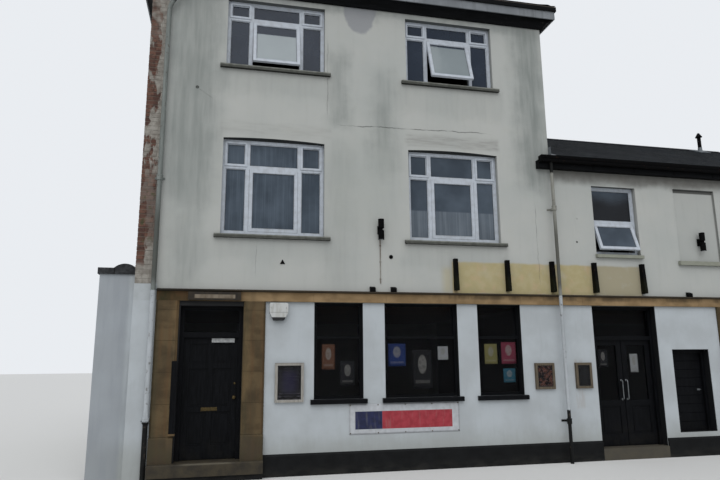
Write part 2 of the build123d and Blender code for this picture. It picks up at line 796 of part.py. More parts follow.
# Ground floor windows, black timber frames with a transom
ground_frames = []
ground_panes = []
ground_sills = []
ground_y0 = ground_window_setback
ground_y1 = ground_window_setback + frame_depth
ground_glass = (ground_y0 + ground_y1) / 2
for x, width in ground_windows:
    frame = block(x, x + width, ground_y0, ground_y1, ground_sill_level, head_level)
    rows = [(ground_sill_level + ground_frame_face, ground_transom_level - ground_frame_face / 2),
            (ground_transom_level + ground_frame_face / 2, head_level - ground_frame_face)]
    for z0, z1 in rows:
        frame -= block(x + ground_frame_face, x + width - ground_frame_face, ground_y0, ground_y1, z0, z1)
        ground_panes.append(block(x + ground_frame_face, x + width - ground_frame_face,
                                  ground_glass - glazing_thickness / 2, ground_glass + glazing_thickness / 2,
                                  z0, z1))
    ground_frames.append(frame)
    sill = block(x - ground_sill_lap, x + width + ground_sill_lap, -ground_sill_projection, 0,
                 ground_sill_level - ground_sill_height, ground_sill_level)
    front_edge = sill.edges().filter_by(Axis.X).group_by(Axis.Z)[-1].sort_by(Axis.Y)[0]
    ground_sills.append(chamfer(front_edge, ground_sill_chamfer))
keep("ground_window_frames", *ground_frames)
keep("ground_sills", *ground_sills)


# Doors: a jamb frame in the wall, leaves on butt hinges that turn inwards
jamb_y0 = door_setback
jamb_y1 = door_setback + jamb_depth
stop_y = door_setback + stop_depth
stop_lap = jamb_face + stop_width


def door_jambs(x0, x1, z0, z1):
    """Left and right jamb of one doorway, each with its stop."""
    left = block(x0, x0 + jamb_face, jamb_y0, jamb_y1, z0, z1)
    left += block(x0, x0 + stop_lap, jamb_y0, stop_y, z0, z1)
    right = block(x1 - jamb_face, x1, jamb_y0, jamb_y1, z0, z1)
    right += block(x1 - stop_lap, x1, jamb_y0, stop_y, z0, z1)
    return left, right


def cross_rail(x0, x1, z0, z1):
    """A head or transom between the jambs, with the stop that hangs below it."""
    rail = block(x0 + jamb_face, x1 - jamb_face, stop_y, jamb_y1, z0, z1)
    return rail + block(x0 + stop_lap, x1 - stop_lap, jamb_y0, stop_y, z0 - stop_width, z1)


jambs = []
rails = []
leaf_y0 = door_setback + stop_depth + leaf_gap
leaf_y1 = leaf_y0 + leaf_thickness
hinge_y = leaf_y1 + hinge_radius


def hinge_levels(z0, z1, shares):
    """Heights of the middles of a leaf's hinges, as shares of its height."""
    return [z0 + (z1 - z0) * share for share in shares]


def hinge_half(x, side, low, high):
    """Knuckle and flap of one half of a lift-off hinge; the flap lies towards side."""
    edge = x + side * hinge_flap
    shape = Pos(x, hinge_y, low) * extrude(RegularPolygon(hinge_radius, knuckle_sides), high - low)
    return shape + block(min(edge, x), max(edge, x), hinge_y - hinge_radius,
                         hinge_y - hinge_radius + hinge_flap_thickness, low, high)


def fixed_hinge(x, side, z):
    """Lower half on the jamb, with the pin that stands up from it."""
    pin = Pos(x, hinge_y, z + hinge_length / 4) * Cylinder(hinge_pin_radius, hinge_length / 2)
    return hinge_half(x, -side, z - hinge_length / 2, z) + pin


def leaf_hinge(x, side, z):
    """Upper half on the leaf, bored from below for the pin."""
    half = hinge_half(x, side, z + hinge_play, z + hinge_length / 2 + hinge_cap)
    bore = hinge_length / 2 + hinge_play
    return half - Pos(x, hinge_y, z + bore / 2) * Cylinder(hinge_pin_radius + hinge_play, bore)


def panel(x0, x1, z0, z1):
    """The sunk border of one door panel, cut from the outer face."""
    sunk = block(x0, x1, leaf_y0, leaf_y0 + panel_recess, z0, z1)
    rim = panel_recess * 2.5
    field = block(x0 + rim, x1 - rim, leaf_y0 + panel_recess - panel_field, leaf_y0 + panel_recess,
                  z0 + rim, z1 - rim)
    return sunk - field


def solid_leaf(x0, x1, z0, z1, columns, rows):
    """A panelled leaf; rows are shares of the height between the rails."""
    leaf = block(x0, x1, leaf_y0, leaf_y1, z0, z1)
    inner_x0 = x0 + stile_width
    inner_z0 = z0 + bottom_rail
    inner_w = x1 - x0 - 2 * stile_width
    inner_h = z1 - z0 - bottom_rail - stile_width
    muntin = stile_width * 0.8
    column = (inner_w - muntin * (columns - 1)) / columns
    free = inner_h - muntin * (len(rows) - 1)
    z = inner_z0
    for share in rows:
        for index in range(columns):
            x = inner_x0 + index * (column + muntin)
            leaf -= panel(x, x + column, z, z + free * share)
        z += free * share + muntin
    return leaf


def boarded_leaf(x0, x1, z0, z1, boards):
    """A leaf of level boards, with a V joint in the outer face between each two."""
    outline = [(leaf_y1, z0), (leaf_y0, z0)]
    for index in range(1, boards):
        joint = z0 + index * (z1 - z0) / boards
        outline += [(leaf_y0, joint - board_joint), (leaf_y0 + board_joint, joint),
                    (leaf_y0, joint + board_joint)]
    outline += [(leaf_y0, z1), (leaf_y1, z1)]
    return outline_along_x(outline, x0, x1)


# Main entrance door
door_z0 = ground_floor_level + leaf_gap
door_z1 = ground_floor_level + door_leaf_height
hinge_jamb, lock_jamb = door_jambs(door_x, door_right, ground_floor_level, door_head)
transom_z = door_z1 + leaf_gap
rails.append(cross_rail(door_x, door_right, transom_z, transom_z + door_transom_height))
rails.append(cross_rail(door_x, door_right, door_head - jamb_face, door_head))
main_hinge_x = door_x + jamb_face + leaf_gap / 2
main_leaf = solid_leaf(door_x + jamb_face + leaf_gap, door_right - jamb_face - leaf_gap, door_z0, door_z1,
                       2, (0.36, 0.42, 0.22))
for z in hinge_levels(door_z0, door_z1, main_hinge_shares):
    hinge_jamb += fixed_hinge(main_hinge_x, 1, z)
    main_leaf += leaf_hinge(main_hinge_x, 1, z)
jambs += [hinge_jamb, lock_jamb]
keep("main_door_leaf", main_leaf)
overlight_y = door_setback + jamb_depth / 2
overlight = block(door_x + jamb_face, door_right - jamb_face, overlight_y, overlight_y + glazing_thickness,
                  transom_z + door_transom_height, door_head - jamb_face)

# Wing double doors, each leaf glazed above a solid panel
wing_z0 = wing_ground_floor_level + leaf_gap
wing_z1 = wing_ground_floor_level + wing_leaf_height
wing_jambs = door_jambs(wing_door_x, wing_door_right, wing_ground_floor_level, head_level)
wing_transom_z = wing_z1 + leaf_gap
rails.append(cross_rail(wing_door_x, wing_door_right, wing_transom_z, wing_transom_z + wing_transom_height))
rails.append(cross_rail(wing_door_x, wing_door_right, head_level - jamb_face, head_level))
wing_middle = (wing_door_x + wing_door_right) / 2
leaf_spans = {
    "wing_left_leaf": (wing_door_x + jamb_face + leaf_gap, wing_middle - meeting_gap / 2, 1),
    "wing_right_leaf": (wing_middle + meeting_gap / 2, wing_door_right - jamb_face - leaf_gap, -1),
}
for jamb, (name, (x0, x1, side)) in zip(wing_jambs, leaf_spans.items()):
    hinge_x = (x0 if side == 1 else x1) - side * leaf_gap / 2
    leaf = block(x0, x1, leaf_y0, leaf_y1, wing_z0, wing_z1)
    glass_z0 = wing_z0 + wing_leaf_height * leaf_glass_share
    glass_z1 = wing_z1 - stile_width
    leaf -= block(x0 + stile_width, x1 - stile_width, leaf_y0, leaf_y1, glass_z0, glass_z1)
    leaf -= panel(x0 + stile_width, x1 - stile_width, wing_z0 + bottom_rail, glass_z0 - stile_width)
    for z in hinge_levels(wing_z0, wing_z1, light_hinge_shares):
        jamb += fixed_hinge(hinge_x, side, z)
        leaf += leaf_hinge(hinge_x, side, z)
    jambs.append(jamb)
    keep(name, leaf)
    pane_y = (leaf_y0 + leaf_y1) / 2
    keep(name.replace("leaf", "leaf_glass"),
         block(x0 + stile_width, x1 - stile_width, pane_y - glazing_thickness / 2,
               pane_y + glazing_thickness / 2, glass_z0, glass_z1))
fanlight = block(wing_door_x + jamb_face, wing_door_right - jamb_face, overlight_y,
                 overlight_y + glazing_thickness, wing_transom_z + wing_transom_height,
                 head_level - jamb_face)
keep("ground_glass", *ground_panes, overlight, fanlight)

# Small door of the wing
small_z0 = small_door_sill + leaf_gap
small_z1 = small_door_head - jamb_face - leaf_gap
hinge_jamb, lock_jamb = door_jambs(small_door_x, small_door_right, small_door_sill, small_door_head)
rails.append(cross_rail(small_door_x, small_door_right, small_door_head - jamb_face, small_door_head))
small_hinge_x = small_door_x + jamb_face + leaf_gap / 2
small_leaf = boarded_leaf(small_door_x + jamb_face + leaf_gap, small_door_right - jamb_face - leaf_gap,
                          small_z0, small_z1, small_door_boards)
for z in hinge_levels(small_z0, small_z1, light_hinge_shares):
    hinge_jamb += fixed_hinge(small_hinge_x, 1, z)
    small_leaf += leaf_hinge(small_hinge_x, 1, z)
jambs += [hinge_jamb, lock_jamb]
keep("small_door_leaf", small_leaf)
keep("door_jambs", *jambs)
keep("door_heads", *rails)


# Rainwater pipes: straight lengths with a swan neck at the top and sockets at the joints
def rain_pipe(route, sockets, radius):
    """A pipe along the route, with a thicker socket centred at each given point."""
    section = Plane(origin=route[0], z_dir=Vector(*route[1]) - Vector(*route[0])) * Circle(radius)
    socket_radius = radius + pipe_socket_rim
    shape = sweep(section, Polyline(*route), transition=Transition.RIGHT)
    for x, y, z in sockets:
        shape += Pos(x, y, z) * Cylinder(socket_radius, pipe_socket_height)
        shape += block(x - socket_radius, x + socket_radius, y, 0,
                       z - pipe_ear / 2, z + pipe_ear / 2)
    return shape


pipe_y = -pipe_wall_gap - pipe_radius
neck_y = -cornice_projection + pipe_radius + outlet_gap
neck_x = left_pipe_x + neck_offset
left_route = [(neck_x, neck_y, fascia_bottom), (neck_x, neck_y, cornice_bottom - neck_straight),
              (left_pipe_x, pipe_y, cornice_bottom - neck_straight - neck_drop), (left_pipe_x, pipe_y, 0)]
left_sockets = [(left_pipe_x, pipe_y, z) for z in left_socket_levels]
left_pipe = rain_pipe(left_route, left_sockets, pipe_radius) - runs["front"]

wing_pipe_y = min(eaves_y, -band_cap_projection) - wing_pipe_radius - outlet_gap
wing_route = [(wing_pipe_x, wing_pipe_y, fascia_top - gutter_height / 2), (wing_pipe_x, wing_pipe_y, 0)]
wing_sockets = [(wing_pipe_x, wing_pipe_y, z) for z in wing_socket_levels]
wing_pipe = rain_pipe(wing_route, wing_sockets, wing_pipe_radius)
keep("downpipes", left_pipe, wing_pipe)


# Things fixed to the front
def sign_bracket(x):
    """Upright bracket that tapers from its foot to its neck, between the band and the sills."""
    z0 = band_top + sign_bracket_lift
    z1 = min(wing_window_sill, blocked_window_sill) - sill_height - sign_bracket_clearance
    outline = [(0, z0), (-sign_bracket_depth, z0), (-sign_bracket_depth, z0 + sign_bracket_foot),
               (-sign_bracket_neck, z1 - sign_bracket_foot), (-sign_bracket_neck, z1), (0, z1)]
    return outline_along_x(outline, x - sign_bracket_width / 2, x + sign_bracket_width / 2)


keep("sign_brackets", *[sign_bracket(x) for x in sign_bracket_x])
box_y = -band_projection
box_z = head_level + light_box_lift
keep("door_light_box", block(light_box_x, light_box_x + light_box_width, box_y - light_box_depth, box_y,
                             box_z, box_z + light_box_height))


def wall_light(x, z, face):
    """Cylinder lamp that shines up and down, on a back plate and arm; face is the wall's depth there."""
    y = face - wall_light_standoff - wall_light_radius
    middle = z + wall_light_height / 2
    half_waist = wall_light_waist_height / 2
    shade = (wall_light_height - wall_light_waist_height) / 2
    light = Pos(x, y, middle - half_waist - shade / 2) * Cylinder(wall_light_radius, shade)
    light += Pos(x, y, middle + half_waist + shade / 2) * Cylinder(wall_light_radius, shade)
    light += block(x - wall_light_arm / 2, x + wall_light_arm / 2, y - wall_light_arm / 2, face,
                   middle - half_waist, middle + half_waist)
    return light + block(x - wall_light_plate / 2, x + wall_light_plate / 2, face - wall_light_plate_depth,
                         face, middle - wall_light_plate_height / 2, middle + wall_light_plate_height / 2)


def band_lamp(x):
    """Small bulkhead lamp against the wall, its foot lying on the slope of the band's cap."""
    cap_fall = band_lamp_depth * (band_cap_height - band_cap_nose * 3 / 2) / band_cap_projection
    outline = [(0, band_top), (-band_lamp_depth, band_top - cap_fall),
               (-band_lamp_depth, band_top + band_lamp_height * 2 / 3), (0, band_top + band_lamp_height)]
    return outline_along_x(outline, x - band_lamp_width / 2, x + band_lamp_width / 2)


light_gap = upper_window_x[1] - upper_window_x[0] - upper_window_width
main_light_x = upper_window_x[0] + upper_window_width + light_gap * wall_light_share
lights = [wall_light(main_light_x, wall_light_level, 0),
          wall_light(blocked_window_x + blocked_light_offset, blocked_light_level, blocked_recess)]
lights += [band_lamp(x) for x in band_lamp_left]
lights.append(band_lamp(main_width + band_lamp_wing_offset))
keep("outside_lights", *lights)

# Alarm box with tapering foot, menu boards and the board on the left pilaster
alarm_top = alarm_bottom + alarm_height
alarm_outline = [(alarm_x - alarm_foot_width / 2, alarm_bottom),
                 (alarm_x + alarm_foot_width / 2, alarm_bottom),
                 (alarm_x + alarm_top_width / 2, alarm_bottom + alarm_shoulder),
                 (alarm_x + alarm_top_width / 2, alarm_top), (alarm_x - alarm_top_width / 2, alarm_top),
                 (alarm_x - alarm_top_width / 2, alarm_bottom + alarm_shoulder)]
alarm = outline_along_y(alarm_outline, -alarm_depth, 0)
keep("alarm_box", fillet(alarm.edges().filter_by(Axis.Y), alarm_rounding))

board_places = [
    (large_board_x, large_board_level, large_board_width, large_board_height),
    (main_width - end_board_offset, small_board_level, end_board_width, small_board_height),
    (main_width + wing_board_offset, small_board_level, wing_board_width, small_board_height),
]
boards = []
for x, z, width, height in board_places:
    board = block(x, x + width, -menu_board_depth, 0, z, z + height)
    board -= block(x + menu_frame_face, x + width - menu_frame_face, -menu_board_depth,
                   -menu_board_depth + menu_panel_recess, z + menu_frame_face, z + height - menu_frame_face)
    boards.append(board)
keep("menu_boards", *boards)
board_x = door_x - jamb_board_width
keep("jamb_board", block(board_x, door_x, -pilaster_projection - jamb_board_depth, -pilaster_projection,
                         jamb_board_bottom, jamb_board_bottom + jamb_board_height))

# Soil vent on the wing's roof, with a conical cowl
vent_x = total_width - vent_end_distance
vent_y = wing_ridge_y - vent_ridge_distance
vent_z = wing_wall_top + vent_y * wing_slope + wing_roof_depth
vent_middle = vent_z + (vent_height - vent_sink) / 2
vent = Pos(vent_x, vent_y, vent_middle) * Cylinder(vent_radius, vent_height + vent_sink)
vent += Pos(vent_x, vent_y, vent_z + vent_height) * Cone(vent_cowl_radius, vent_radius / 2, vent_cowl_height)
roof_top = outline_along_x([(0, 0), (0, wing_wall_top + wing_roof_depth),
                            (wing_ridge_y, gable_ridge + wing_roof_depth), (wing_ridge_y, 0)],
                           vent_x - vent_radius - vent_clearance, vent_x + vent_radius + vent_clearance)
keep("roof_vent", vent - roof_top)

os.makedirs("parts", exist_ok=True)
shift = Location((-origin_x, -origin_y, 0))
for name, solids in nodes.items():
    moved = [shift * solid for solid in solids]
    shape = moved[0] if len(moved) == 1 else Compound(children=moved)
    export_step(shape, f"parts/{name}.step")
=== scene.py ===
import bmesh
import bpy
import numpy as np
from mathutils import Matrix, Vector


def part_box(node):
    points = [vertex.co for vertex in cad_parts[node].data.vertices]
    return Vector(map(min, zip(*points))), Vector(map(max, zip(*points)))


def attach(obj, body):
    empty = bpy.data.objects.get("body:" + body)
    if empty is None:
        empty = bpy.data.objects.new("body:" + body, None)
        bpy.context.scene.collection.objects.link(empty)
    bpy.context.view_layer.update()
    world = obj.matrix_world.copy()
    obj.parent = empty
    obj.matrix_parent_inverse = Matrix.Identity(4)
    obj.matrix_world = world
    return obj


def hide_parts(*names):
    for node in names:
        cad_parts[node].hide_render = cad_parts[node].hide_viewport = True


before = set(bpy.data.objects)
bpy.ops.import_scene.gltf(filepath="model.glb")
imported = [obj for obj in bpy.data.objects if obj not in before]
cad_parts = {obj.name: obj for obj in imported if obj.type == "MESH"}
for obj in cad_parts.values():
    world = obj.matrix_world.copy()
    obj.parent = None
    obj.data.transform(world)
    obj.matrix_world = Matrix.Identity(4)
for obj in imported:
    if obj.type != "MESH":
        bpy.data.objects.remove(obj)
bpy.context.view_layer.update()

# Street view: eyes at standing height across the road, a plain pale floor under the building and soft
# light from a pale sky and a wide lamp high over the street, so that colours come out as written.
def placed(name, data):
    """Puts a new object that shows this data into the scene."""
    thing = bpy.data.objects.new(name, data)
    bpy.context.scene.collection.objects.link(thing)
    return thing


eye = (-5.395, -13.3, 1.80)
look_left, look_up, head_tilt = 0.2210, 0.1944, 0.0080
camera_data = bpy.data.cameras.new("street_camera")
camera_data.lens, camera_data.sensor_width, camera_data.clip_end = 30.0, 36.0, 300.0
camera = placed("street_camera", camera_data)
view = Matrix.Translation(eye)
for angle, axis in ((-np.pi / 2, "X"), (look_left, "Y"), (look_up, "X"), (head_tilt, "Z"), (np.pi, "X")):
    view = view @ Matrix.Rotation(angle, 4, axis)
camera.matrix_world = view
bpy.context.scene.camera = camera
bpy.context.scene.view_settings.view_transform = "Standard"

floor_mesh = bpy.data.meshes.new("studio_floor")
floor_mesh.from_pydata([(-80, -80, 0), (80, -80, 0), (80, 80, 0), (-80, 80, 0)], [], [(0, 1, 2, 3)])
floor_paint = bpy.data.materials.new("studio_floor")
floor_paint.use_nodes = True
floor_shader = floor_paint.node_tree.nodes["Principled BSDF"]
floor_shader.inputs["Base Color"].default_value = (0.62, 0.62, 0.61, 1)
floor_shader.inputs["Roughness"].default_value = 0.9
floor_mesh.materials.append(floor_paint)
placed("studio_floor", floor_mesh)

sky = bpy.data.worlds.new("pale_sky")
bpy.context.scene.world = sky
sky.use_nodes = True
sky_nodes, sky_links = sky.node_tree.nodes, sky.node_tree.links
sky_shader = sky_nodes["Background"]
sky_shader.inputs["Color"].default_value = (0.93, 0.96, 1.0, 1)
sky_level = sky_nodes.new("ShaderNodeMapRange")
sky_level.inputs["To Min"].default_value = 0.62
sky_level.inputs["To Max"].default_value = 0.88
sky_links.new(sky_nodes.new("ShaderNodeLightPath").outputs["Is Camera Ray"], sky_level.inputs["Value"])
sky_links.new(sky_level.outputs["Result"], sky_shader.inputs["Strength"])

lamp_data = bpy.data.lights.new("wide_lamp", "SUN")
lamp_data.energy, lamp_data.angle = 1.7, 1.2
lamp = placed("wide_lamp", lamp_data)
lamp.rotation_mode = "QUATERNION"
lamp.rotation_quaternion = Vector((0.30, 0.75, -0.95)).to_track_quat("-Z", "Y")


# Upper walls: brick covered in lime render and painted off-white many times, now grey with rain streaks,
# patched between the top windows and cracked along a line under them. Where an old sign board hung, the
# wall between its brackets has kept an earlier cream paint.
class Coat:
    """A socket of a finish's node tree. Sums, differences, products and powers of coats and numbers add
    the Math nodes that work them out, and a | b is the larger of the two."""

    def __init__(self, socket):
        self.socket = socket

    def node(self, kind, settings=(), links=(), out=0):
        """Adds a node of this kind, its settings first and then the values or links of its sockets."""
        tree = self.socket.id_data
        made = tree.nodes.new("ShaderNode" + kind)
        for name, value in dict(settings).items():
            setattr(made, name, value)
        for name, value in dict(links).items():
            if isinstance(value, Coat):
                tree.links.new(value.socket, made.inputs[name])
            else:
                made.inputs[name].default_value = tint(value) if isinstance(value, str) else value
        return Coat(made.outputs[out])

    def maths(self, operation, *values):
        """Adds a Math node with this coat as its first value."""
        return self.node("Math", {"operation": operation}, enumerate((self, *values)))

    __add__ = __radd__ = lambda self, other: self.maths("ADD", other)
    __mul__ = __rmul__ = lambda self, other: self.maths("MULTIPLY", other)
    __sub__ = lambda self, other: self.maths("SUBTRACT", other)
    __rsub__ = lambda self, other: self.maths("MULTIPLY_ADD", -1.0, other)
    __truediv__ = lambda self, other: self.maths("DIVIDE", other)
    __pow__ = lambda self, other: self.maths("POWER", other)
    __or__ = lambda self, other: self.maths("MAXIMUM", other)
    __abs__ = lambda self: self.maths("ABSOLUTE")

    def over(self, under, colour):
        """Lays a colour over another one where this mask is 1."""
        return self.node("Mix", {"data_type": "RGBA"}, {0: self, 6: under, 7: colour}, 2)

    def rise(self, low, high):
        """0 below low, 1 above high and a smooth step between; turned round where low is the higher."""
        return self.node("MapRange", {"interpolation_type": "SMOOTHSTEP"},
                         {"Value": self, "From Min": low, "From Max": high})

    def tones(self, first, second, low=0.3, high=0.7):
        """The first colour where this grain is below low, the second one above high."""
        return self.rise(low, high).over(first, second)

    def grain(self, size, detail=3.0, tall=1, wide=1, deep=1):
        """Noise from 0 to 1 whose blotches are about size metres, times tall, wide and deep."""
        cells = self.counted_in(size * wide, size * deep, size * tall)
        return cells.node("TexNoise", {}, {"Vector": cells, "Scale": 1.0, "Detail": detail,
                                           "Roughness": 0.55})

    def chance(self, *lengths):
        """A chance value from 0 to 1 for each block of these lengths."""
        blocks = self.counted_in(*lengths)
        blocks = blocks.node("VectorMath", {"operation": "FLOOR"}, {0: blocks})
        return blocks.node("TexWhiteNoise", {}, {"Vector": blocks})

    def counted_in(self, *lengths):
        """A place counted in these lengths along x, y and z, and no longer in metres."""
        return self.node("VectorMath", {"operation": "DIVIDE"}, {0: self, 1: lengths})

    def parts(self):
        """The three lengths of a place: along the street, into the building and up."""
        split = self.node("SeparateXYZ", {}, {0: self})
        return [Coat(length) for length in split.socket.node.outputs]

    def facing(self):
        """The way that the surface faces, in the same three parts."""
        return self.node("NewGeometry", out=1).parts()


# All places are taken from the tall block's front left corner at the pavement
corner = Vector((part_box("front_wall_upper")[0].x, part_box("front_wall_upper")[0].y, 0))


def tint(code):
    """The colour of a six-figure code, as the shader wants it: ((v + 0.055) / 1.055) to the power 2.4."""
    value = np.array([int(code[k:k + 2], 16) for k in (0, 2, 4)]) / 255
    return (*np.where(value > 0.04, ((value + 0.055) / 1.055) ** 2.4, value / 12.92), 1.0)


def new_finish(name, *nodes, specular=0.5, metallic=0.0, roughness=0.5):
    """A finish on these CAD nodes, the place on the building in metres from the tall block's front left
    corner at the pavement, and that place's three parts."""
    material = bpy.data.materials.new(name)
    material.use_nodes = True
    sockets = material.node_tree.nodes["Principled BSDF"].inputs
    for socket, value in (("Specular IOR Level", specular), ("Metallic", metallic), ("Roughness", roughness)):
        sockets[socket].default_value = value
    for node in nodes:
        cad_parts[node].data.materials.clear()
        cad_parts[node].data.materials.append(material)
    place = Coat(material.node_tree.nodes.new("ShaderNodeTexCoord").outputs["Object"])
    place = place.node("VectorMath", {"operation": "SUBTRACT"}, {0: place, 1: corner})
    return material, place, *place.parts()


def lay(material, coats, roughness=None, relief=None, depth=0.002, **others):
    """Lays a finish: a first colour and then each (mask, colour) over it, its roughness, and its relief, a
    height from 0 to 1 times depth in metres."""
    colour, shader = coats[0], material.node_tree.nodes["Principled BSDF"]
    for mask, next_colour in coats[1:]:
        colour = mask.over(colour, next_colour)
    normal = relief and relief.node("Bump", {}, {"Height": relief, "Distance": depth, "Strength": 1.0})
    for name, value in {"Base Color": colour, "Roughness": roughness, "Normal": normal, **others}.items():
        if value:
            material.node_tree.links.new(value.socket, shader.inputs[name])


def wall_patch(x, z, left, right, low, high, soft):
    """A rectangle on the wall face with soft edges, 1 inside and 0 outside."""
    return (x.rise(left - soft, left + soft) * x.rise(right + soft, right - soft)
            * z.rise(low - soft, low + soft) * z.rise(high + soft, high - soft))


render, place, x, y, z = new_finish(
    "off_white_render", "front_wall_upper", "wing_wall_upper", "main_side_walls", "rear_wall",
    "wing_rear_wall", "wing_party_wall", specular=0.3)
cloud, mottle, wobble = place.grain(1.1, 5.0), place.grain(0.16, 4.0), place.grain(0.30, 2.0)
streak = place.grain(0.11, 3.0, 9)
loose_x = x + 0.5 * (place.grain(0.45, 4.0) - 0.5)
loose_z = z + 0.5 * (place.grain(0.38, 4.0) - 0.5)
front = y.rise(0.12, 0.06)
street_and_yard = front | y.rise(5.97, 5.99)
coats = [cloud.tones("a3a6a3", "adaeaa", 0.20, 0.80), (0.18 * mottle.rise(0.50, 0.85), "a9a89b"),
         (0.10 * streak.rise(0.50, 0.80), "7c807e")]
# Rain streaks below sills, damp under the cornice and eaves, and dirt by the right corner
for left, right, low, high, soft, strength in [
        (0.9, 3.1, 6.3, 6.75, 0.14, 0.25), (4.4, 6.4, 6.2, 6.75, 0.14, 0.20),
        (0.9, 3.2, 3.4, 3.78, 0.12, 0.15), (4.4, 6.4, 3.3, 3.78, 0.12, 0.20),
        (0.3, 1.15, 4.4, 8.2, 0.30, 0.80), (6.74, 7.32, 4.9, 8.2, 0.26, 0.95),
        (0.6, 1.0, 6.2, 7.0, 0.22, 0.45), (0.5, 1.0, 2.9, 4.6, 0.22, 0.50),
        (3.12, 3.44, 5.85, 7.30, 0.18, 0.70), (3.0, 3.5, 2.9, 5.5, 0.25, 0.28),
        (3.90, 4.34, 5.0, 6.95, 0.22, 0.50), (3.95, 4.20, 5.4, 6.3, 0.15, 0.35),
        (7.36, 14.1, 5.10, 5.4, 0.12, 0.60), (0.4, 7.3, 8.05, 8.25, 0.08, 0.5)]:
    mask = wall_patch(loose_x, loose_z, left, right, low, high, soft) * street_and_yard
    coats.append((strength * mask * (0.60 + 0.40 * streak.rise(0.30, 0.70)), "7a7f7c"))
level_dirt = place.grain(0.045, 4.0, wide=9).rise(0.35, 0.70)
for left, right, strength in ((4.50, 6.35, 0.60), (1.20, 3.10, 0.25)):
    smear = wall_patch(loose_x, z + 0.1 * (wobble - 0.5), left, right, 5.585, 5.80, 0.06) * front
    coats.append((strength * smear * (0.3 + 0.7 * level_dirt), "7d7c78"))
bare_x, bare_z = x + 0.14 * (wobble - 0.5), z + 0.14 * (mottle - 0.5)
bare = (((bare_x - 3.67) * 3.2) ** 2 + ((bare_z - 8.28) * 1.7) ** 2).rise(1.15, 0.85) * front
damp = (6.9 - loose_z).rise(0, 2.2) * wall_patch(loose_x, z, 3.15, 4.25, 4.0, 7.0, 0.2) * front
# The sides and the back are coarser: old cement repairs, long runs below the cornice, green at the foot
blank = 1 - front
repair = place.grain(1.7, 1.0, 0.8).rise(0.60, 0.615)
coats += [(0.75 * bare, "808287"), (0.15 * damp, "8d938b"), (0.30 * blank * repair, "8f928c"),
          (0.45 * blank * loose_z.rise(6.2, 8.2) * streak.rise(0.42, 0.72), "6b706c"),
          (0.55 * blank * (z + 1.1 * (cloud - 0.5)).rise(1.0, 0.0), "6a705f")]
# Earlier cream paint between the sign brackets, its top edge level with the bracket heads
unsteady = 0.05 * (wobble - 0.5)
cream = wall_patch(x + unsteady, z + unsteady, 5.30, 9.10, 2.9, 3.46, 0.025) * front
cream = cream * (1 - 0.45 * place.grain(0.45).rise(0.45, 0.75) * z.rise(3.05, 3.40) * x.rise(8.2, 8.0))
cream_tone = (0.5 * place.grain(0.22).rise(0.5, 0.7)).over(mottle.tones("a0956d", "a89d7b"), "b29a7c")
cream_tone = x.rise(8.0, 8.2).over(cream_tone, "97907a")
coats += [(cream * (0.80 + 0.20 * mottle.rise(0.25, 0.45)), cream_tone),
          (0.45 * (wall_patch(x, z, 5.12, 5.30, 2.9, 3.35, 0.08) * front), "a79b70")]
# Cracks: one long level line below the top windows, two upright ones by the wing, and fixing holes
jagged = 0.06 * (wobble - 0.5) + 0.03 * (place.grain(0.07) - 0.5)
level_line = abs(z - 5.875 - 0.021 * (x - 3.87) + jagged)
crack = level_line.rise(0.012, 0.002) * x.rise(3.15, 3.6) * x.rise(6.25, 5.8)
for line_x, low, high in ((6.99, 3.0, 4.75), (1.875, 3.0, 3.74), (3.06, 5.9, 7.6)):
    upright = abs(x - line_x + jagged).rise(0.010, 0.002)
    crack = crack | 0.55 * upright * z.rise(low, low + 0.3) * z.rise(high, high - 0.3)
for hole_x, hole_z, wide in ((0.816, 6.357, 0.024), (7.846, 4.351, 0.012), (7.808, 3.906, 0.016)):
    hole = ((x - hole_x) ** 2 + (z - hole_z) ** 2).rise(wide ** 2 * 1.7, wide ** 2 * 0.6)
    crack = crack | 2.0 * hole
scratch = abs(x - 0.816 + 1.3 * (z - 6.357) + jagged).rise(0.030, 0.006)
crack = crack | 0.4 * scratch * z.rise(6.15, 6.22) * z.rise(6.36, 6.30)
crack = crack * front * (0.25 + 0.75 * place.grain(0.25, 2.0).rise(0.35, 0.6))
# Painted shade and dirt under the wing's eaves; painted shadow in the blocked window's head, reveals, soffits
# Painted shade, partly dirt, in a dark band just under the wing's eaves
eaves_shade_and_dirt = wall_patch(x, loose_z * 0.3 + z * 0.7, 7.36, 14.2, 5.08, 5.60, 0.11) * street_and_yard
# Painted shadow along the head of the blocked window's recess and down its right jamb
blocked = (wall_patch(x, z, 10.03, 10.97, 4.985, 5.06, 0.010)
           | 0.55 * wall_patch(x, z, 10.945, 10.98, 3.60, 5.05, 0.008))
# Painted shade: darker deeper into each reveal, darkest on the faces that look down
downward = place.facing()[2].rise(-0.5, -0.9)
reveal = 0.45 * y.rise(0.01, 0.09) | 0.85 * downward * y.rise(0.001, 0.004)
# Painted shadow in the heads of the first floor windows, under the arches above the frames
under_arch = wall_patch(x, z, 1.2, 6.4, 5.485, 5.62, 0.003) * y.rise(0.004, 0.02) * y.rise(0.20, 0.17)
# The white paint of the ground floor runs on up the corner beside the pipe, below the bare bricks
corner_strip = wall_patch(x, z, -0.1, 0.345, 2.5, 2.984, 0.003) * y.rise(0.30, 0.28)
# Inside, plaster: off-white upstairs and dark brown in the bar
inside = y.rise(0.16, 0.20) * y.rise(5.75, 5.60) * x.rise(0.2, 0.3) * x.rise(14.0, 13.9)
inside = inside * (1 - x.rise(7.30, 7.33) * x.rise(7.37, 7.35))
coats += [(0.65 * crack, "4c4f4c"), (0.90 * eaves_shade_and_dirt * (0.7 + 0.3 * mottle), "53504b"),
          (0.85 * blocked * y.rise(0.06, 0.05), "2f2e2b"), (reveal * y.rise(0.36, 0.34), "3c4042"),
          (0.92 * under_arch, "25282a"), (corner_strip, mottle.tones("9fa4a6", "a9aeb1")),
          (inside, z.tones("2b2320", "a5a298", 2.6, 2.9))]
relief = place.grain(0.60, 1.0) - crack * 2.0 - bare * 0.6
lay(render, coats, 0.75 + 0.2 * mottle, relief, 0.004)


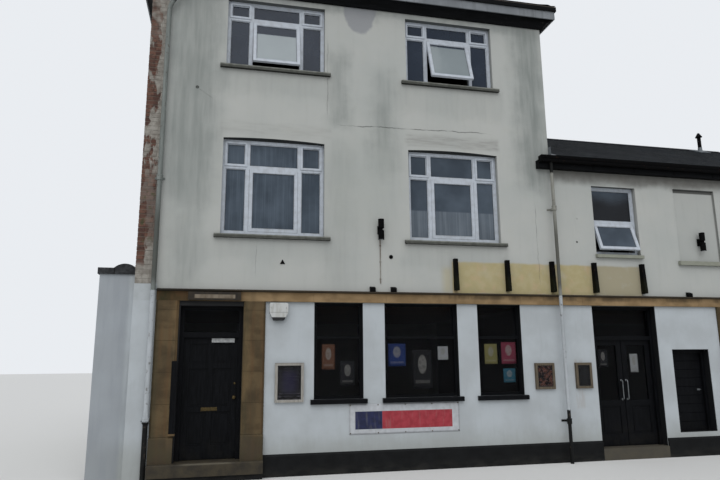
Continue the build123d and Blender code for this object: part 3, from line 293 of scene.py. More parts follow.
# Ground floor walls: the same brick with a smooth cement face and gloss-white masonry paint, rolled on
# in broad bands, splashed grey at the foot above the black plinth. The low wall on the left is alike.
paint, place, x, y, z = new_finish(
    "white_wall_paint", "front_wall_ground", "wall_piers", "doorway_walling", "wing_wall_right", "side_wall",
    specular=0.3)
cloud = place.grain(0.7, 4.0)
splash = (z + 0.25 * (place.grain(0.09, 4.0, 3) - 0.5)).rise(0.75, 0.30)
rust = wall_patch(x, z, 7.56, 7.72, 0.9, 1.75, 0.03) * y.rise(0.12, 0.06)
yard = x.rise(0.0, -0.02)
# The reveals of doors and windows are black, and the bar behind is brown
reveal = (y.rise(0.006, 0.014) * x.rise(0.2, 0.3) * x.rise(14.19, 14.17)
          | wall_patch(x, z, 0.60, 1.75, -1.0, 2.72, 0.002))
coats = [cloud.tones("a3a8ab", "adb3b7", 0.35, 0.65),
         (0.35 * place.grain(0.08, 3.0, 7).rise(0.55, 0.8), "949a9c"), (0.45 * splash, "85877f"),
         (0.25 * rust * place.grain(0.05, 2.0, 6).rise(0.4, 0.6), "8f7d6c"),
         (0.35 * yard * place.grain(0.13, 4.0, 8).rise(0.45, 0.7), "7f858b"),
         (0.6 * yard * x.rise(-0.06, -0.14), "858a90"),
         (reveal, y.tones("121315", "2b2320", 0.31, 0.325))]
relief = place.grain(0.012, 2.0) * 0.04 + place.grain(0.60, 1.0)
lay(paint, coats, 0.50 + 0.25 * cloud, relief, 0.004)


# Quoin: a strip of bare red brick at the front left corner where the render has fallen away, stretchers
# and headers in turn up the corner on a lime mortar core, with thin scabs of old render left on it.
def boxes(low, high):
    """Many boxes at once: corner i of each is low + pick[i] * (high - low), pick counting in twos."""
    low, high = np.broadcast_arrays(np.atleast_2d(low), np.atleast_2d(high))
    pick = np.array([[i >> 0 & 1, i >> 1 & 1, i >> 2 & 1] for i in range(8)])
    points = low[:, None] + pick[None] * (high - low)[:, None]
    sides = np.array([[0, 2, 3, 1], [4, 5, 7, 6], [0, 1, 5, 4], [2, 6, 7, 3], [0, 4, 6, 2], [1, 3, 7, 5]])
    return points.reshape(-1, 3), (sides[None] + 8 * np.arange(len(low))[:, None, None]).reshape(-1, 4)


def fitted(name, shapes, material, body="building", smooth=False):
    """A new piece from shapes, each of them points and faces, in metres from the tall block's front left
    corner. It takes a material and rides on a body."""
    points, faces = zip(*shapes)
    starts = np.cumsum([0] + [len(part) for part in points])
    faces = np.vstack([part + start for part, start in zip(faces, starts)])
    mesh = bpy.data.meshes.new(name)
    mesh.from_pydata((np.vstack(points) + np.array(corner)).tolist(), [], faces.tolist())
    mesh.materials.append(material)
    mesh.polygons.foreach_set("use_smooth", np.full(len(faces), smooth))
    piece = placed(name, mesh)
    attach(piece, body)
    return piece


def eased(piece, width):
    """Rounds a piece's sharp edges off with a bevel of this width in metres."""
    bevel = piece.modifiers.new("eased_edges", "BEVEL")
    bevel.width, bevel.segments, bevel.limit_method = width, 1, "ANGLE"


def from_corner(node):
    """A CAD node's lowest and highest corner, in metres from the front left corner at the pavement."""
    low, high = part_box(node)
    return np.array(low - corner), np.array(high - corner)


low, high = from_corner("brick_quoin")
course, joint, brick_length, brick_width = 0.075, 0.010, 0.215, 0.1025
rows = int((high[2] - low[2]) / course)
level = low[2] + course * np.arange(rows)
odd = np.arange(rows) % 2 == 1
split_x = np.where(odd, low[0] + brick_width, low[0] + brick_length)
split_y = np.where(odd, low[1] + brick_length, low[1] + brick_width)
sunk = np.random.default_rng(4).uniform(0, 0.003, (3, rows))
starts = [(low[0] + sunk[0], low[1] + sunk[0]), (split_x + joint, low[1] + sunk[1]),
          (low[0] + sunk[2], split_y + joint)]
ends = [(split_x, split_y), (high[0], split_y), (split_x, high[1] - joint)]
bricks = boxes(*[np.concatenate([np.stack(np.broadcast_arrays(*across, up), 1) for across in corners])
                 for corners, up in ((starts, level + joint / 2), (ends, level + course - joint / 2))])
brick, place, x, y, z = new_finish("bare_brick", roughness=0.9, specular=0.2)
edge = (z - low[2] % course).maths("PINGPONG", course / 2).rise(0.007, 0.004)
scab = (place.grain(0.20, 5.0, 2.6) + 0.16 * x.rise(0.02, 0.30)).rise(0.53, 0.58)
scab = scab | z.rise(3.35, 3.22) | 0.8 * z.rise(7.0, 7.6) * place.grain(0.4).rise(0.4, 0.6)
scab = scab * (1 - 0.7 * z.rise(3.5, 3.8) * z.rise(4.9, 4.7))
moss = place.grain(0.12, 4.0).rise(0.55, 0.68) * z.rise(3.5, 3.8) * z.rise(4.8, 4.4)
coats = [place.chance(0.11, 0.11, course).tones("4b3630", "674b40", 0, 1),
         (0.6 * place.grain(0.05, 4.0).rise(0.45, 0.7), "352b28"),
         (0.7 * edge, "6f675d"), (scab, place.grain(0.10, 4.0).tones("78736c", "96928b")),
         (0.7 * moss, "41472f")]
lay(brick, coats, None, scab + place.grain(0.008) * 0.3 + place.grain(0.05) * 0.4, 0.008)
quoin = fitted("corner_bricks", [bricks, boxes(low + (0.006, 0.006, 0), high)], brick)
eased(quoin, 0.003)
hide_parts("brick_quoin")


# Shop front stonework: brown sandstone pilasters and band, blackened by traffic, rubbed paler on the
# chamfers, cut in blocks with fine joints; painted shade on strips of the pilasters, and painted shadow along
# the top of the band.
stone, place, x, y, z = new_finish("brown_stone", "storey_band", "pilasters", specular=0.15)
bed, soot = place.grain(0.35, 4.0, 0.5), place.grain(0.22, 4.0, 3)
flow = place.grain(0.07, 3.0, 14)
band_foot = from_corner("storey_band")[0][2]
# Painted shade on strips: the left pilaster's outer edge, beside the door's right jamb, and the stone right
# of the door
outer = x.rise(0.47, 0.40) | x.rise(2.02, 2.06) | x.rise(1.80, 1.76) * x.rise(1.5, 1.6)
foot_block = (z + 0.10 * (bed - 0.5)).rise(0.72, 0.60)
band_tone = (0.30 * soot.rise(0.50, 0.7)).over(bed.tones("7b664a", "917a5b", 0.35, 0.65), "5d4d38")
band_tone = x.rise(2.2, 0.9).over(band_tone, soot.tones("4d3b27", "33301f", 0.4, 0.6))
rubbed = x.rise(0.58, 0.64) * x.rise(0.74, 0.70) | x.rise(1.70, 1.72) * x.rise(1.86, 1.78)
rubbed = rubbed * z.rise(0.35, 0.7) * z.rise(2.75, 2.65) * y.rise(-0.02, -0.04)
spill = wall_patch(x, z, 5.2, 14.2, band_foot + 0.08, band_foot + 0.2, 0.02)
block_joint = (z - 0.65).maths("PINGPONG", 0.24).rise(0.005, 0.002) * z.rise(2.70, 2.69)
upright_joint = (x - 0.35).maths("PINGPONG", 0.62).rise(0.004, 0.002) * z.rise(2.71, 2.72)
cuts = block_joint | upright_joint
coats = [bed.tones("473b2a", "5b4d38", 0.35, 0.65), (0.55 * flow.rise(0.45, 0.65), "5c4630"),
         (0.5 * soot.rise(0.45, 0.7), "3a3327"), (0.45 * outer, "3b3829"),
         (0.65 * foot_block, soot.tones("3a352b", "443d32", 0.35, 0.65)),
         (z.rise(band_foot - 0.01, band_foot + 0.01), band_tone),
         (0.35 * rubbed * soot.rise(0.7, 0.4), "7a6648"),
         (0.35 * (z.rise(0.9, 0.2) * bed.rise(0.4, 0.6)), "3a3a28"),
         # Painted shadow along the top of the band
         (0.9 * z.rise(band_foot + 0.146, band_foot + 0.152), "262421"),
         (0.45 * spill * soot.rise(0.4, 0.6), "2e2a24"), (0.22 * cuts, "262218")]
relief = place.grain(0.02) * 0.25 + bed * 0.5 + place.grain(0.06) * 0.3 - cuts
lay(stone, coats, 0.7 + 0.25 * bed, relief, 0.004)


# Window sills: pale sandstone weathered on top, green-black where the rain drips down the foot of the front,
# and painted shade, nearly black, on the undersides; the ground floor ones are painted black like their
# frames.
sill, place, x, y, z = new_finish("sill_stone", "stone_sills", roughness=0.85, specular=0.2)
up, mottle = place.facing()[2], place.grain(0.09, 4.0)
drip = ((z / 3.0).maths("FRACT") * 3.0).rise(0.808, 0.794) * x.rise(7.4, 7.3)
coats = [mottle.tones("6f716b", "8a8c86"), (0.9 * drip * (0.6 + 0.4 * place.grain(0.05)), "2a2b27"),
         (0.5 * up.rise(0.5, 0.2) * place.grain(0.05, 3.0, 3), "3b3c37"),
         # Painted shade, nearly black, on the faces that look down
         (0.8 * up.rise(-0.3, -0.8), "1f201d"), (0.6 * (x.rise(7.5, 7.6) * y.rise(0.2, 0.1)), "8f9183")]
lay(sill, coats, None, place.grain(0.012) * 0.4 + mottle * 0.6, 0.003)


# Steps: worn grey-brown stone treads, one at the main door on a black base course and one at the wing's
# doors, paler along the nosing where feet have rubbed them.
tread, place, x, y, z = new_finish("step_stone", "door_steps", specular=0.2)
mottle = place.grain(0.14, 5.0)
worn = x.rise(0.75, 0.95) * x.rise(1.70, 1.45) * y.rise(-0.06, -0.14) * z.rise(0.24, 0.27)
coats = [mottle.tones("2f2b25", "403a2e"), (0.5 * worn, "6b665a"), (0.5 * x.rise(7.5, 7.6), "55524a")]
lay(tread, coats, 0.55 + 0.3 * mottle, place.grain(0.01) * 0.3 + mottle * 0.7, 0.004)


# Plinth: cement, brushed with thick black bitumen paint that has gone dull and dusty at the pavement.
plinth, place, x, y, z = new_finish("black_plinth", "front_plinth", specular=0.12)
mottle = place.grain(0.18, 5.0)
splashed = z.rise(0.20, 0.0) * place.grain(0.25, 4.0, 0.4).rise(0.30, 0.70)
lay(plinth, [mottle.tones("0e0f10", "161718"), (0.6 * splashed, "2f2e2b")], 0.45 + 0.35 * mottle,
    place.grain(0.015) * 0.5 + mottle * 0.8, 0.005)


# Coping of the low wall on the left: concrete, dark with algae, in two lengths with an open joint.
coping, place, x, y, z = new_finish("coping_stone", "side_wall_coping", roughness=0.9, specular=0.2)
mottle, open_joint = place.grain(0.08, 5.0), abs(x + 0.34).rise(0.008, 0.004)
coats = [mottle.tones("262729", "3b3c3e"), (0.6 * place.grain(0.03, 4.0).rise(0.5, 0.7), "1a1b1b"),
         (open_joint, "161615")]
lay(coping, coats, None, mottle * 0.6 + place.grain(0.008) * 0.4 - open_joint, 0.005)


# Floors: a cement ground slab with quarry-red tiles worn through, and tongued pine boards upstairs,
# which show through the doorways and windows.
boards, place, x, y, z = new_finish("floor_boards", "upper_floors")
plank = (y / 0.145).maths("FLOOR")
shade = plank.node("TexWhiteNoise", {"noise_dimensions": "1D"}, {"W": plank})
grain, gap = place.grain(0.02, 4.0, wide=14), y.maths("PINGPONG", 0.0725).rise(0.003, 0.001)
coats = [shade.over("6b4a2e", "8a6540"), (0.5 * grain.rise(0.4, 0.7), "4d341f"), (0.9 * gap, "1c130c")]
lay(boards, coats, 0.4 + 0.3 * grain, grain * 0.3 - gap, 0.003)
slab, place, x, y, z = new_finish("ground_slab", "ground_floors")
tile = 0.152
grout = x.maths("PINGPONG", tile / 2).maths("MINIMUM", y.maths("PINGPONG", tile / 2)).rise(0.004, 0.002)
coats = [place.chance(tile, tile, tile).over("5a3128", "733f31"), (0.9 * grout, "4b463f")]
lay(slab, coats, 0.4 + 0.35 * place.grain(0.5), place.grain(0.03) * 0.3 - grout, 0.003)


# Upper windows: welded white plastic frames with top-hung sashes, the panes held from outside by snapped-in
# beads on a thin black gasket. The top floor sashes and the wing's lower one stand open on steel stays.
def skin(rows, columns, rows_close=False, columns_close=False):
    """The faces between neighbours in a grid of points. A way that closes runs on from its end to its
    start."""
    i, j = np.indices((rows - 1 + rows_close, columns - 1 + columns_close))
    here, after, beside = i * columns, (i + 1) % rows * columns, (j + 1) % columns
    return np.stack([here + j, after + j, after + beside, here + beside], -1).reshape(-1, 4)


def round_lights(lights, section, y):
    """A closed section carried round each light with mitred corners. Section point (inset, depth) lies at
    depth behind y and at inset inwards from each of the light's four edges."""
    lights, (inset, depth) = np.array(lights), np.array(section).T
    xs = lights[:, [0, 1, 1, 0], None] + np.array([1, -1, -1, 1])[:, None] * inset
    zs = lights[:, [2, 2, 3, 3], None] + np.array([1, 1, -1, -1])[:, None] * inset
    points = np.stack([xs, np.broadcast_to(y + depth, xs.shape), zs], -1).reshape(-1, 3)
    starts = 4 * len(section) * np.arange(len(lights))
    return points, (skin(4, len(section), True, True) + starts[:, None, None]).reshape(-1, 4)


def opened(points, hinge_z, degrees):
    """Turns points out about a level hinge line: y and z from the hinge become y cos a + z sin a and
    z cos a - y sin a."""
    a = np.radians(degrees)
    x, y, z = np.array(points).T
    y, z = y - sash_front, z - hinge_z
    out, down = y * np.cos(a) + z * np.sin(a), z * np.cos(a) - y * np.sin(a)
    return np.stack([x, sash_front + out, hinge_z + down], 1)


def window_lights(left, level, height, top_height, wide, side=0.0):
    """Where a window's lights start and end across and up, between its frame, bar and mullions."""
    bar, ends = level + height - top_height, [left + frame_face, left + wide - frame_face]
    if side:
        ends[1:1] = [left + at + half for at in (side, wide - side) for half in (-half_bar, half_bar)]
    return ends, [(level + frame_face, bar - half_bar), (bar + half_bar, level + height - frame_face)]


def plain_finish(name, grain, tones, rough=None, relief=None, **constants):
    """A finish of two tones in one grain, given as its size, detail and stretches. Its roughness is rough's
    first number plus the second times the grain, and its relief is that deep in metres."""
    material, place = new_finish(name, **constants)[:2]
    grain = place.grain(*grain)
    lay(material, [grain.tones(*tones)], rough and rough[0] + rough[1] * grain, relief and grain, relief)
    return material


frame_face, half_bar, hinge_rim = 0.052, 0.029, 0.017
sash_front, sash_rail, sash_head = 0.095, 0.052, 0.048
# A window is its left edge, foot, height, the height of its top lights, its width and its side lights'
first_floor, second_floor, wing_room = (3.840, 1.650, 0.480), (6.840, 1.260, 0.330), (3.700, 1.320, 0.690)
wide_window, wing_window = (1.730, 0.420), (0.955,)
front_windows = [(1.280, *first_floor, *wide_window), (1.280, *second_floor, *wide_window),
                 (4.540, *first_floor, *wide_window), (4.540, *second_floor, *wide_window),
                 (8.200, *wing_room, *wing_window), (11.835, *wing_room, *wing_window)]
bead = np.array([(0.0, 0.008), (0.004, 0.006), (0.013, 0.017), (0.013, 0.028), (0.0, 0.028)])
gasket = np.array([(0.012, 0.0265), (0.018, 0.0275), (0.018, 0.0288), (0.012, 0.0288)])
fixed_lights, sash_lights, stays = [], [], []
for window, angle in zip(front_windows, (0, 12, 0, 17, 19, 0)):
    across, up = window_lights(*window)
    middle = (across[len(across) // 2 - 1], across[len(across) // 2])
    for (z0, z1), row in zip(up, ("sash", "top")):
        for light in zip(across[::2], across[1::2]):
            rim = hinge_rim if row == "top" and light != middle else 0.0
            if row == "sash" and light == middle:
                sash_lights.append((*light, z0, z1, angle))
            else:
                fixed_lights.append((light[0] + rim, light[1] - rim, z0 + rim, z1 - rim))
beads, seals = [[round_lights(fixed_lights, section, sash_front)] for section in (bead, gasket)]
for x0, x1, z0, z1, angle in sash_lights:
    inner = (x0 + sash_rail, x1 - sash_rail, z0 + sash_rail, z1 - sash_head)
    for shapes, section in ((beads, bead - (0, 0.009)), (seals, gasket - (0, 0.0095))):
        points, faces = round_lights([inner], section, sash_front)
        shapes.append((opened(points, z1, angle), faces))
    if not angle:
        continue
    reach = 0.45 * (z1 - z0)
    for x in (x0 + 0.002, x1 - 0.0035):
        ends = (x, 0.13, z1 - 0.62 * reach), *opened([(x, sash_front + 0.030, z1 - reach)], z1, angle)
        corners = [np.array(end) + (w, side * 0.0016, side * 0.008)
                   for end in ends for side in (-1, 1) for w in (0, 0.002)]
        stays.append((np.array(corners), boxes(0, [1] * 3)[1][:, [0, 3, 2, 1]]))
white, place, x, y, z = new_finish("white_plastic", "open_window_frames", "closed_window_frames",
                                   "window_sashes", specular=0.35)
dust, up = place.grain(0.10, 4.0), place.facing()[2]
drips = y.rise(0.088, 0.097) * place.grain(0.03, 3.0, 4).rise(0.5, 0.75)
coats = [dust.tones("b2b9c2", "a4a9b0", 0.35, 0.75),
         (0.6 * up.rise(0.5, 0.9) * dust.rise(0.3, 0.6), "7d7f7c"), (0.35 * drips, "8f9391")]
lay(white, coats, 0.28 + 0.25 * dust, place.grain(0.05, 2.0), 0.0004)
black_seal = plain_finish("black_rubber", (0.02, 2.0), ("0e0f10", "1c1d1e"), roughness=0.6)
steel = plain_finish("grey_metal", (0.02,), ("8b8f92", "6c6f70"), (0.3, 0.3), metallic=0.9)
# The back windows have the same beads, and bars planted on the outer face of one wide pane
back_bars, back_lights, bar_inset = [], {6.800: [], 6.000: []}, 0.0004
back_windows = [(*window, 6.800) for window in front_windows[:4]]
back_windows += [(left + 0.4525, 1.150, 1.565, 0.450, 0.825, 0.0, 6.800) for left in (1.280, 4.540)]
back_windows += [(left, 3.700, 1.320, 0.640, 0.955, 0.0, 6.000) for left in (8.200, 11.835)]
for *window, face in back_windows:
    across, up = window_lights(*window)
    for z0, z1 in up:
        back_lights[face] += [(x0, x1, z0, z1) for x0, x1 in zip(across[::2], across[1::2])]
        back_bars += [(x0, x1, z0, z1, face) for x0, x1 in zip(across[1:-1:2], across[2:-1:2])]
    back_bars.append((across[0] + bar_inset, across[-1] - bar_inset, up[0][1], up[1][0], face))
bars = boxes([(x0, face - 0.1235, z0 + bar_inset) for x0, x1, z0, z1, face in back_bars],
             [(x1, face - 0.098, z1 - bar_inset) for x0, x1, z0, z1, face in back_bars])
fitted("back_window_bars", [bars], white)
for face, lights in back_lights.items():
    points, faces = round_lights(lights, bead * (1, -1), face - 0.095)
    beads.append((points, faces[:, ::-1]))
fitted("pane_beads", beads, white)
fitted("pane_gaskets", seals, black_seal)
fitted("sash_stays", stays, steel)


# Window glass: double panes, dark from the rooms behind. The two tilted sashes on the top floor have a
# painted reflection of the pale sky, darker along their tops as a painted reflection of the frames, and rain
# has left dull marks along the foot of every pane. The shop's panes below are single, and the unlit bar makes
# them nearly black.
glass, place, x, y, z = new_finish("clear_glass", "upper_glass", specular=0.2)
haze, folds = place.grain(0.6), place.grain(0.035, 2.0, 30)
front = y.rise(0.6, 0.4)
curtain = wall_patch(x, z, 1.2, 3.1, 3.7, 5.4, 0.05) * front
low_net = wall_patch(x, z, 4.50, 6.30, 3.80, 4.40, 0.015) * front
# Painted reflection on the tilted top sashes: pale sky, dark along their tops
top_sash = z.rise(6.8, 6.85) * y.rise(0.117, 0.110)
right_window = x.rise(4.0, 4.5)
sky_tone = right_window.over("9fa7aa", "868f92")
sky_tone = (z - (right_window * 0.13 + 7.49)).rise(0.03, 0.0).over("2b3340", sky_tone)
wing_top = wall_patch(x, z, 8.2, 9.16, 4.36, 4.99, 0.01) * front
coats = [haze.tones("3c454f", "4e5863"), (0.5 * curtain * folds.rise(0.4, 0.8), "5f6b77"),
         (0.55 * low_net * (0.5 + 0.5 * folds.rise(0.35, 0.75)), "808890"),
         (0.8 * z.rise(6.7, 6.8), "252d3b"), (top_sash * (0.86 + 0.14 * haze), sky_tone),
         (0.9 * wing_top * (z + 0.2 * haze).rise(5.15, 4.75), "1c1c1e")]
rain = place.grain(0.15).rise(0.5, 0.9)
lay(glass, coats, 0.04 + 0.10 * rain, place.grain(0.5, 1.0), 0.0012, Alpha=0.86 + 0.09 * haze)
shop_glass, place, x, y, z = new_finish("shop_glass", "ground_glass", "wing_left_leaf_glass",
                                        "wing_right_leaf_glass", specular=0.1)
haze = place.grain(0.4)
lay(shop_glass, [haze.tones("0a0a0c", "131416")], 0.04 + 0.10 * haze, place.grain(0.5, 1.0), 0.0012,
    Alpha=0.30 + 0.10 * haze)


# Net curtains: white polyester voile gathered on plastic-covered wires, a low one across the right-hand
# first floor window and one down each side light of the left-hand one.
def sheet(left, right, low, high, counts, depth):
    """A sheet along the wall: the point at u across and v up, both from 0 to 1, lies at depth(u, v)."""
    u, v = np.meshgrid(*[np.linspace(0, 1, count) for count in counts], indexing="ij")
    points = np.stack([left + (right - left) * u, depth(u, v), low + (high - low) * v], -1)
    return points.reshape(-1, 3), skin(*counts)


def gathered_net(left, right, low, high, folds):
    """A gathered net: 0.185 plus 7 mm times the sine of the folds' turns across u, deeper towards the foot,
    with the turns pushed to and fro by a slower sine so that no two folds match."""
    def hang(u, v):
        turns = 2 * np.pi * (folds * u + 0.35 * np.sin(2 * np.pi * 2.3 * u + folds / 5))
        return 0.185 + 0.007 * (1 - 0.35 * v) * (np.sin(turns) + 0.25 * np.sin(2.7 * turns + folds / 5))
    return sheet(left, right, low, high, (folds * 16 + 1, net_rows), hang)


voile, place, x, y, z = new_finish("off_white_voile")
folds = place.grain(0.03, 2.0, 20)
lay(voile, [folds.tones("9a9ca0", "c3c6ca")], 0.8 + 0.15 * folds, place.grain(0.004, 1.0), 0.0003,
    Alpha=0.70 + 0.22 * folds)
wires, net_foot, net_rows = [], 3.90, 13
nets = {"low_net": (4.60, 6.21, 4.42, 34), "left_side_net": (1.34, 1.67, 4.92, 8),
        "right_side_net": (2.62, 2.95, 4.92, 8)}
for name, (left, right, top, folds) in nets.items():
    net = gathered_net(left, right, net_foot, top, folds)
    piece = fitted(name, [net], voile, smooth=True)
    wires += [boxes((left - 0.02, 0.183, top - 0.003), (right + 0.02, 0.187, top + 0.001)),
              boxes([(left - 0.02, 0.165, top - 0.004), (right + 0.015, 0.165, top - 0.004)],
                    [(left - 0.015, 0.186, top + 0.002), (right + 0.02, 0.186, top + 0.002)])]
fitted("net_wires", wires, white)


# Shop windows: softwood frames and sills under thick black gloss paint, with papers stuck up inside the
# panes. The papers are left plain: a tinted ground with a paler block and no words or pictures.
black, place, x, y, z = new_finish(
    "black_timber", "ground_window_frames", "ground_sills", "door_jambs", "door_heads", "main_door_leaf",
    "small_door_leaf", "wing_left_leaf", "wing_right_leaf", "jamb_board", specular=0.06)
brush, chips = place.grain(0.02, 3.0, 12), place.grain(0.05, 5.0).rise(0.70, 0.74)
coats = [brush.tones("090a0c", "111215"), (0.25 * chips, "3b3833"),
         (0.5 * z.rise(0.75, 0.25) * place.grain(0.2, 4.0).rise(0.4, 0.7), "1e1d1b")]
lay(black, coats, 0.32 + 0.25 * brush, brush * 0.6 + place.grain(0.10) * 0.6 - chips * 0.5, 0.001)
papers = [(3.00, 3.22, 1.62, 2.03, "94664f"), (3.31, 3.56, 1.36, 1.75, "24252b"),
          (4.14, 4.45, 1.66, 2.04, "34509c"), (4.57, 4.92, 1.29, 1.93, "1c1d22"),
          (5.03, 5.22, 1.76, 1.99, "eef2f6"), (5.90, 6.14, 1.68, 2.03, "bdb673"),
          (6.22, 6.50, 1.68, 2.06, "b8506a"), (6.24, 6.47, 1.36, 1.60, "428ca8"),
          (8.21, 8.39, 1.60, 1.92, "2c2c33"), (8.86, 9.03, 1.50, 1.84, "eef2f4")]
paper_bodies = ["building"] * 8 + ["wing_left_door", "wing_right_door"]
per_side = 9


def curled_paper(left, right, low, high, y):
    """A sheet of paper 0.3 mm thick, its face y + 0.004 * (1 - cos of two turns across u) * v * v / 2, so
    that the corners lift a little from the pane."""
    front, quads = sheet(left, right, low, high, (per_side, per_side),
                         lambda u, v: y + 0.002 * (1 - np.cos(4 * np.pi * u)) * v * v)
    back, last = len(front), len(front) - per_side
    rim = np.concatenate([np.arange(0, back, per_side), np.arange(last + 1, back),
                          np.arange(last - 1, -1, -per_side), np.arange(per_side - 2, 0, -1)])
    onward = np.roll(rim, -1)
    sides = np.stack([onward, rim, rim + back, onward + back], 1)
    return np.vstack([front, front + (0, 0.0003, 0)]), np.vstack([quads, quads[:, ::-1] + back, sides])


paper, place, x, y, z = new_finish("printed_paper")
ground = place.node("Attribute", {"attribute_name": "ground"})
u, v, level = place.node("UVMap", {"uv_map": "sheet"}).parts()
blob = ((u - 0.5) ** 2 + (0.9 * v - 0.56) ** 2).rise(0.060, 0.035)
strip = u.rise(0.12, 0.15) * u.rise(0.88, 0.85) * v.rise(0.12, 0.14) * v.rise(0.22, 0.20)
worn_ink = 0.55 + 0.35 * place.grain(0.05).rise(0.3, 0.6)
lay(paper, [ground, (worn_ink * (0.75 * blob | 0.35 * strip), "d6d4ce")], 0.6 + 0.2 * place.grain(0.05))
for k, ((*edges, code), body) in enumerate(zip(papers, paper_bodies)):
    shape = curled_paper(*edges, 0.136 if body == "building" else 0.2195)
    notice = fitted(f"window_paper_{k + 1}", [shape], paper, body, smooth=True).data
    at = np.zeros(len(notice.loops), np.int32)
    notice.loops.foreach_get("vertex_index", at)
    uv = np.stack([at % per_side ** 2 // per_side, at % per_side], 1) / (per_side - 1)
    notice.uv_layers.new(name="sheet").data.foreach_set("uv", uv.ravel())
    ink = notice.attributes.new("ground", "FLOAT_COLOR", "POINT")
    ink.data.foreach_set("color", np.tile(tint(code), len(notice.vertices)))


# Door furniture: a brass knob, letter plate and cylinder lock on the panelled main door, with a bare white
# plate screwed to its top rail; steel pulls on the glazed doors and a hasp on the small one.
def turned(section, centre, axis, sides=28):
    """A shape turned on a lathe: section point (r, h) goes round to centre + r (cos t, sin t) + h, with h
    along axis x, y or z."""
    t = np.linspace(0, 2 * np.pi, sides, endpoint=False)
    r, h = np.array(section, float).T[:, :, None]
    flat = np.stack([r * np.cos(t), r * np.sin(t), np.broadcast_to(h, (len(section), sides))], -1)
    points = np.roll(flat, {"x": 1, "y": 2, "z": 0}[axis], axis=-1) + np.array(centre)
    return points.reshape(-1, 3), skin(len(section), sides, False, True)[:, [0, 3, 2, 1]]


def closed_up(piece):
    """Merges doubled points, so that poles and seams close, and turns all faces outwards."""
    shape = bmesh.new()
    shape.from_mesh(piece.data)
    bmesh.ops.remove_doubles(shape, verts=shape.verts, dist=1e-5)
    bmesh.ops.dissolve_degenerate(shape, edges=shape.edges, dist=1e-6)
    bmesh.ops.recalc_face_normals(shape, faces=shape.faces)
    shape.to_mesh(piece.data)
    shape.free()
    return piece


def pipe_run(corners, radius, bend, sides=20):
    """A round bar along a line of corner points, each corner rounded by the curve (1-t)^2 A + 2t(1-t) P +
    t^2 B from bend before it to bend after it, and capped at both ends."""
    corners, t = np.array(corners), np.linspace(0, 1, 7)[:, None]
    line = [corners[:1]]
    for before, here, after in zip(corners[:-2], corners[1:-1], corners[2:]):
        a, b = [here + (end - here) / np.linalg.norm(end - here) * bend for end in (before, after)]
        line.append((1 - t) ** 2 * a + 2 * t * (1 - t) * here + t ** 2 * b)
    line = np.vstack(line + [corners[-1:]])
    way = np.gradient(line, axis=0)
    way /= np.linalg.norm(way, axis=1)[:, None]
    aside = np.cross(way, np.array([0.02, 1.0, 0.03]))
    aside /= np.linalg.norm(aside, axis=1)[:, None]
    line, aside, other = [np.vstack([v[:1], v, v[-1:]])[:, None] for v in (line, aside, np.cross(way, aside))]
    turn = np.linspace(0, 2 * np.pi, sides, endpoint=False)[:, None]
    reach = np.r_[1e-7, np.full(len(line) - 2, radius), 1e-7][:, None, None]
    points = line + reach * (aside * np.cos(turn) + other * np.sin(turn))
    return points.reshape(-1, 3), skin(len(line), sides, False, True)


brass = plain_finish("old_brass", (0.012, 4.0), ("5e5033", "30291c", 0.35, 0.65), (0.30, 0.35), metallic=0.9)
knob = [(0, 0), (0.030, 0), (0.030, -0.004), (0.012, -0.008), (0.010, -0.022), (0.022, -0.030),
        (0.028, -0.040), (0.026, -0.050), (0.015, -0.056), (0, -0.057)]
lock = [(0, 0), (0.019, 0), (0.018, -0.005), (0.013, -0.008), (0.012, -0.006), (0, -0.006)]
rose = [(0, 0), (0.019, 0), (0.018, -0.003), (0.010, -0.004), (0, -0.004)]
plate_screw = [(0, 0), (0.005, 0), (0.004, -0.002), (0, -0.0025)]
staple = [(0, 0), (0.006, 0), (0.006, 0.034), (0, 0.036)]
leaf_face = 0.188
furniture = [turned(knob, (1.590, leaf_face, 1.20), "y"), turned(lock, (1.595, leaf_face, 1.42), "y"),
             boxes([(1.085, leaf_face - 0.005, 1.002), (1.105, leaf_face - 0.009, 1.013)],
                   [(1.335, leaf_face, 1.058), (1.315, leaf_face - 0.005, 1.047)])]
eased(closed_up(fitted("main_door_furniture", furniture, brass, "main_door")), 0.0012)
plate = plain_finish("bare_white_plate", (0.04, 4.0), ("a9abaa", "86888a", 0.3, 0.75), (0.35, 0.3))
door_plate = [boxes((1.215, leaf_face - 0.003, 2.066), (1.575, leaf_face, 2.132))]
door_plate += [turned(plate_screw, (x, leaf_face - 0.003, 2.099), "y", 12) for x in (1.235, 1.555)]
eased(fitted("main_door_plate", door_plate, plate, "main_door"), 0.001)
for body, x in (("wing_left_door", 8.615), ("wing_right_door", 8.720)):
    line = [(x, leaf_face - out, z) for out, z in ((0, 1.02), (0.042, 1.02), (0.042, 1.36), (0, 1.36))]
    pull = [pipe_run(line, 0.009, 0.025, 16)]
    pull += [turned(rose, (x, leaf_face, z), "y") for z in (1.02, 1.36)]
    closed_up(fitted(body + "_pull", pull, steel, body, smooth=True))
hasp = [boxes([(10.235, leaf_face - 0.004, 1.150), (10.300, leaf_face - 0.013, 1.158),
               (10.270, leaf_face - 0.007, 1.146)],
              [(10.300, leaf_face, 1.182), (10.312, leaf_face, 1.174), (10.278, leaf_face, 1.186)]),
        turned(staple, (10.274, leaf_face - 0.004, 1.148), "z", 12)]
eased(fitted("small_door_hasp", hasp, steel, "small_door"), 0.0008)


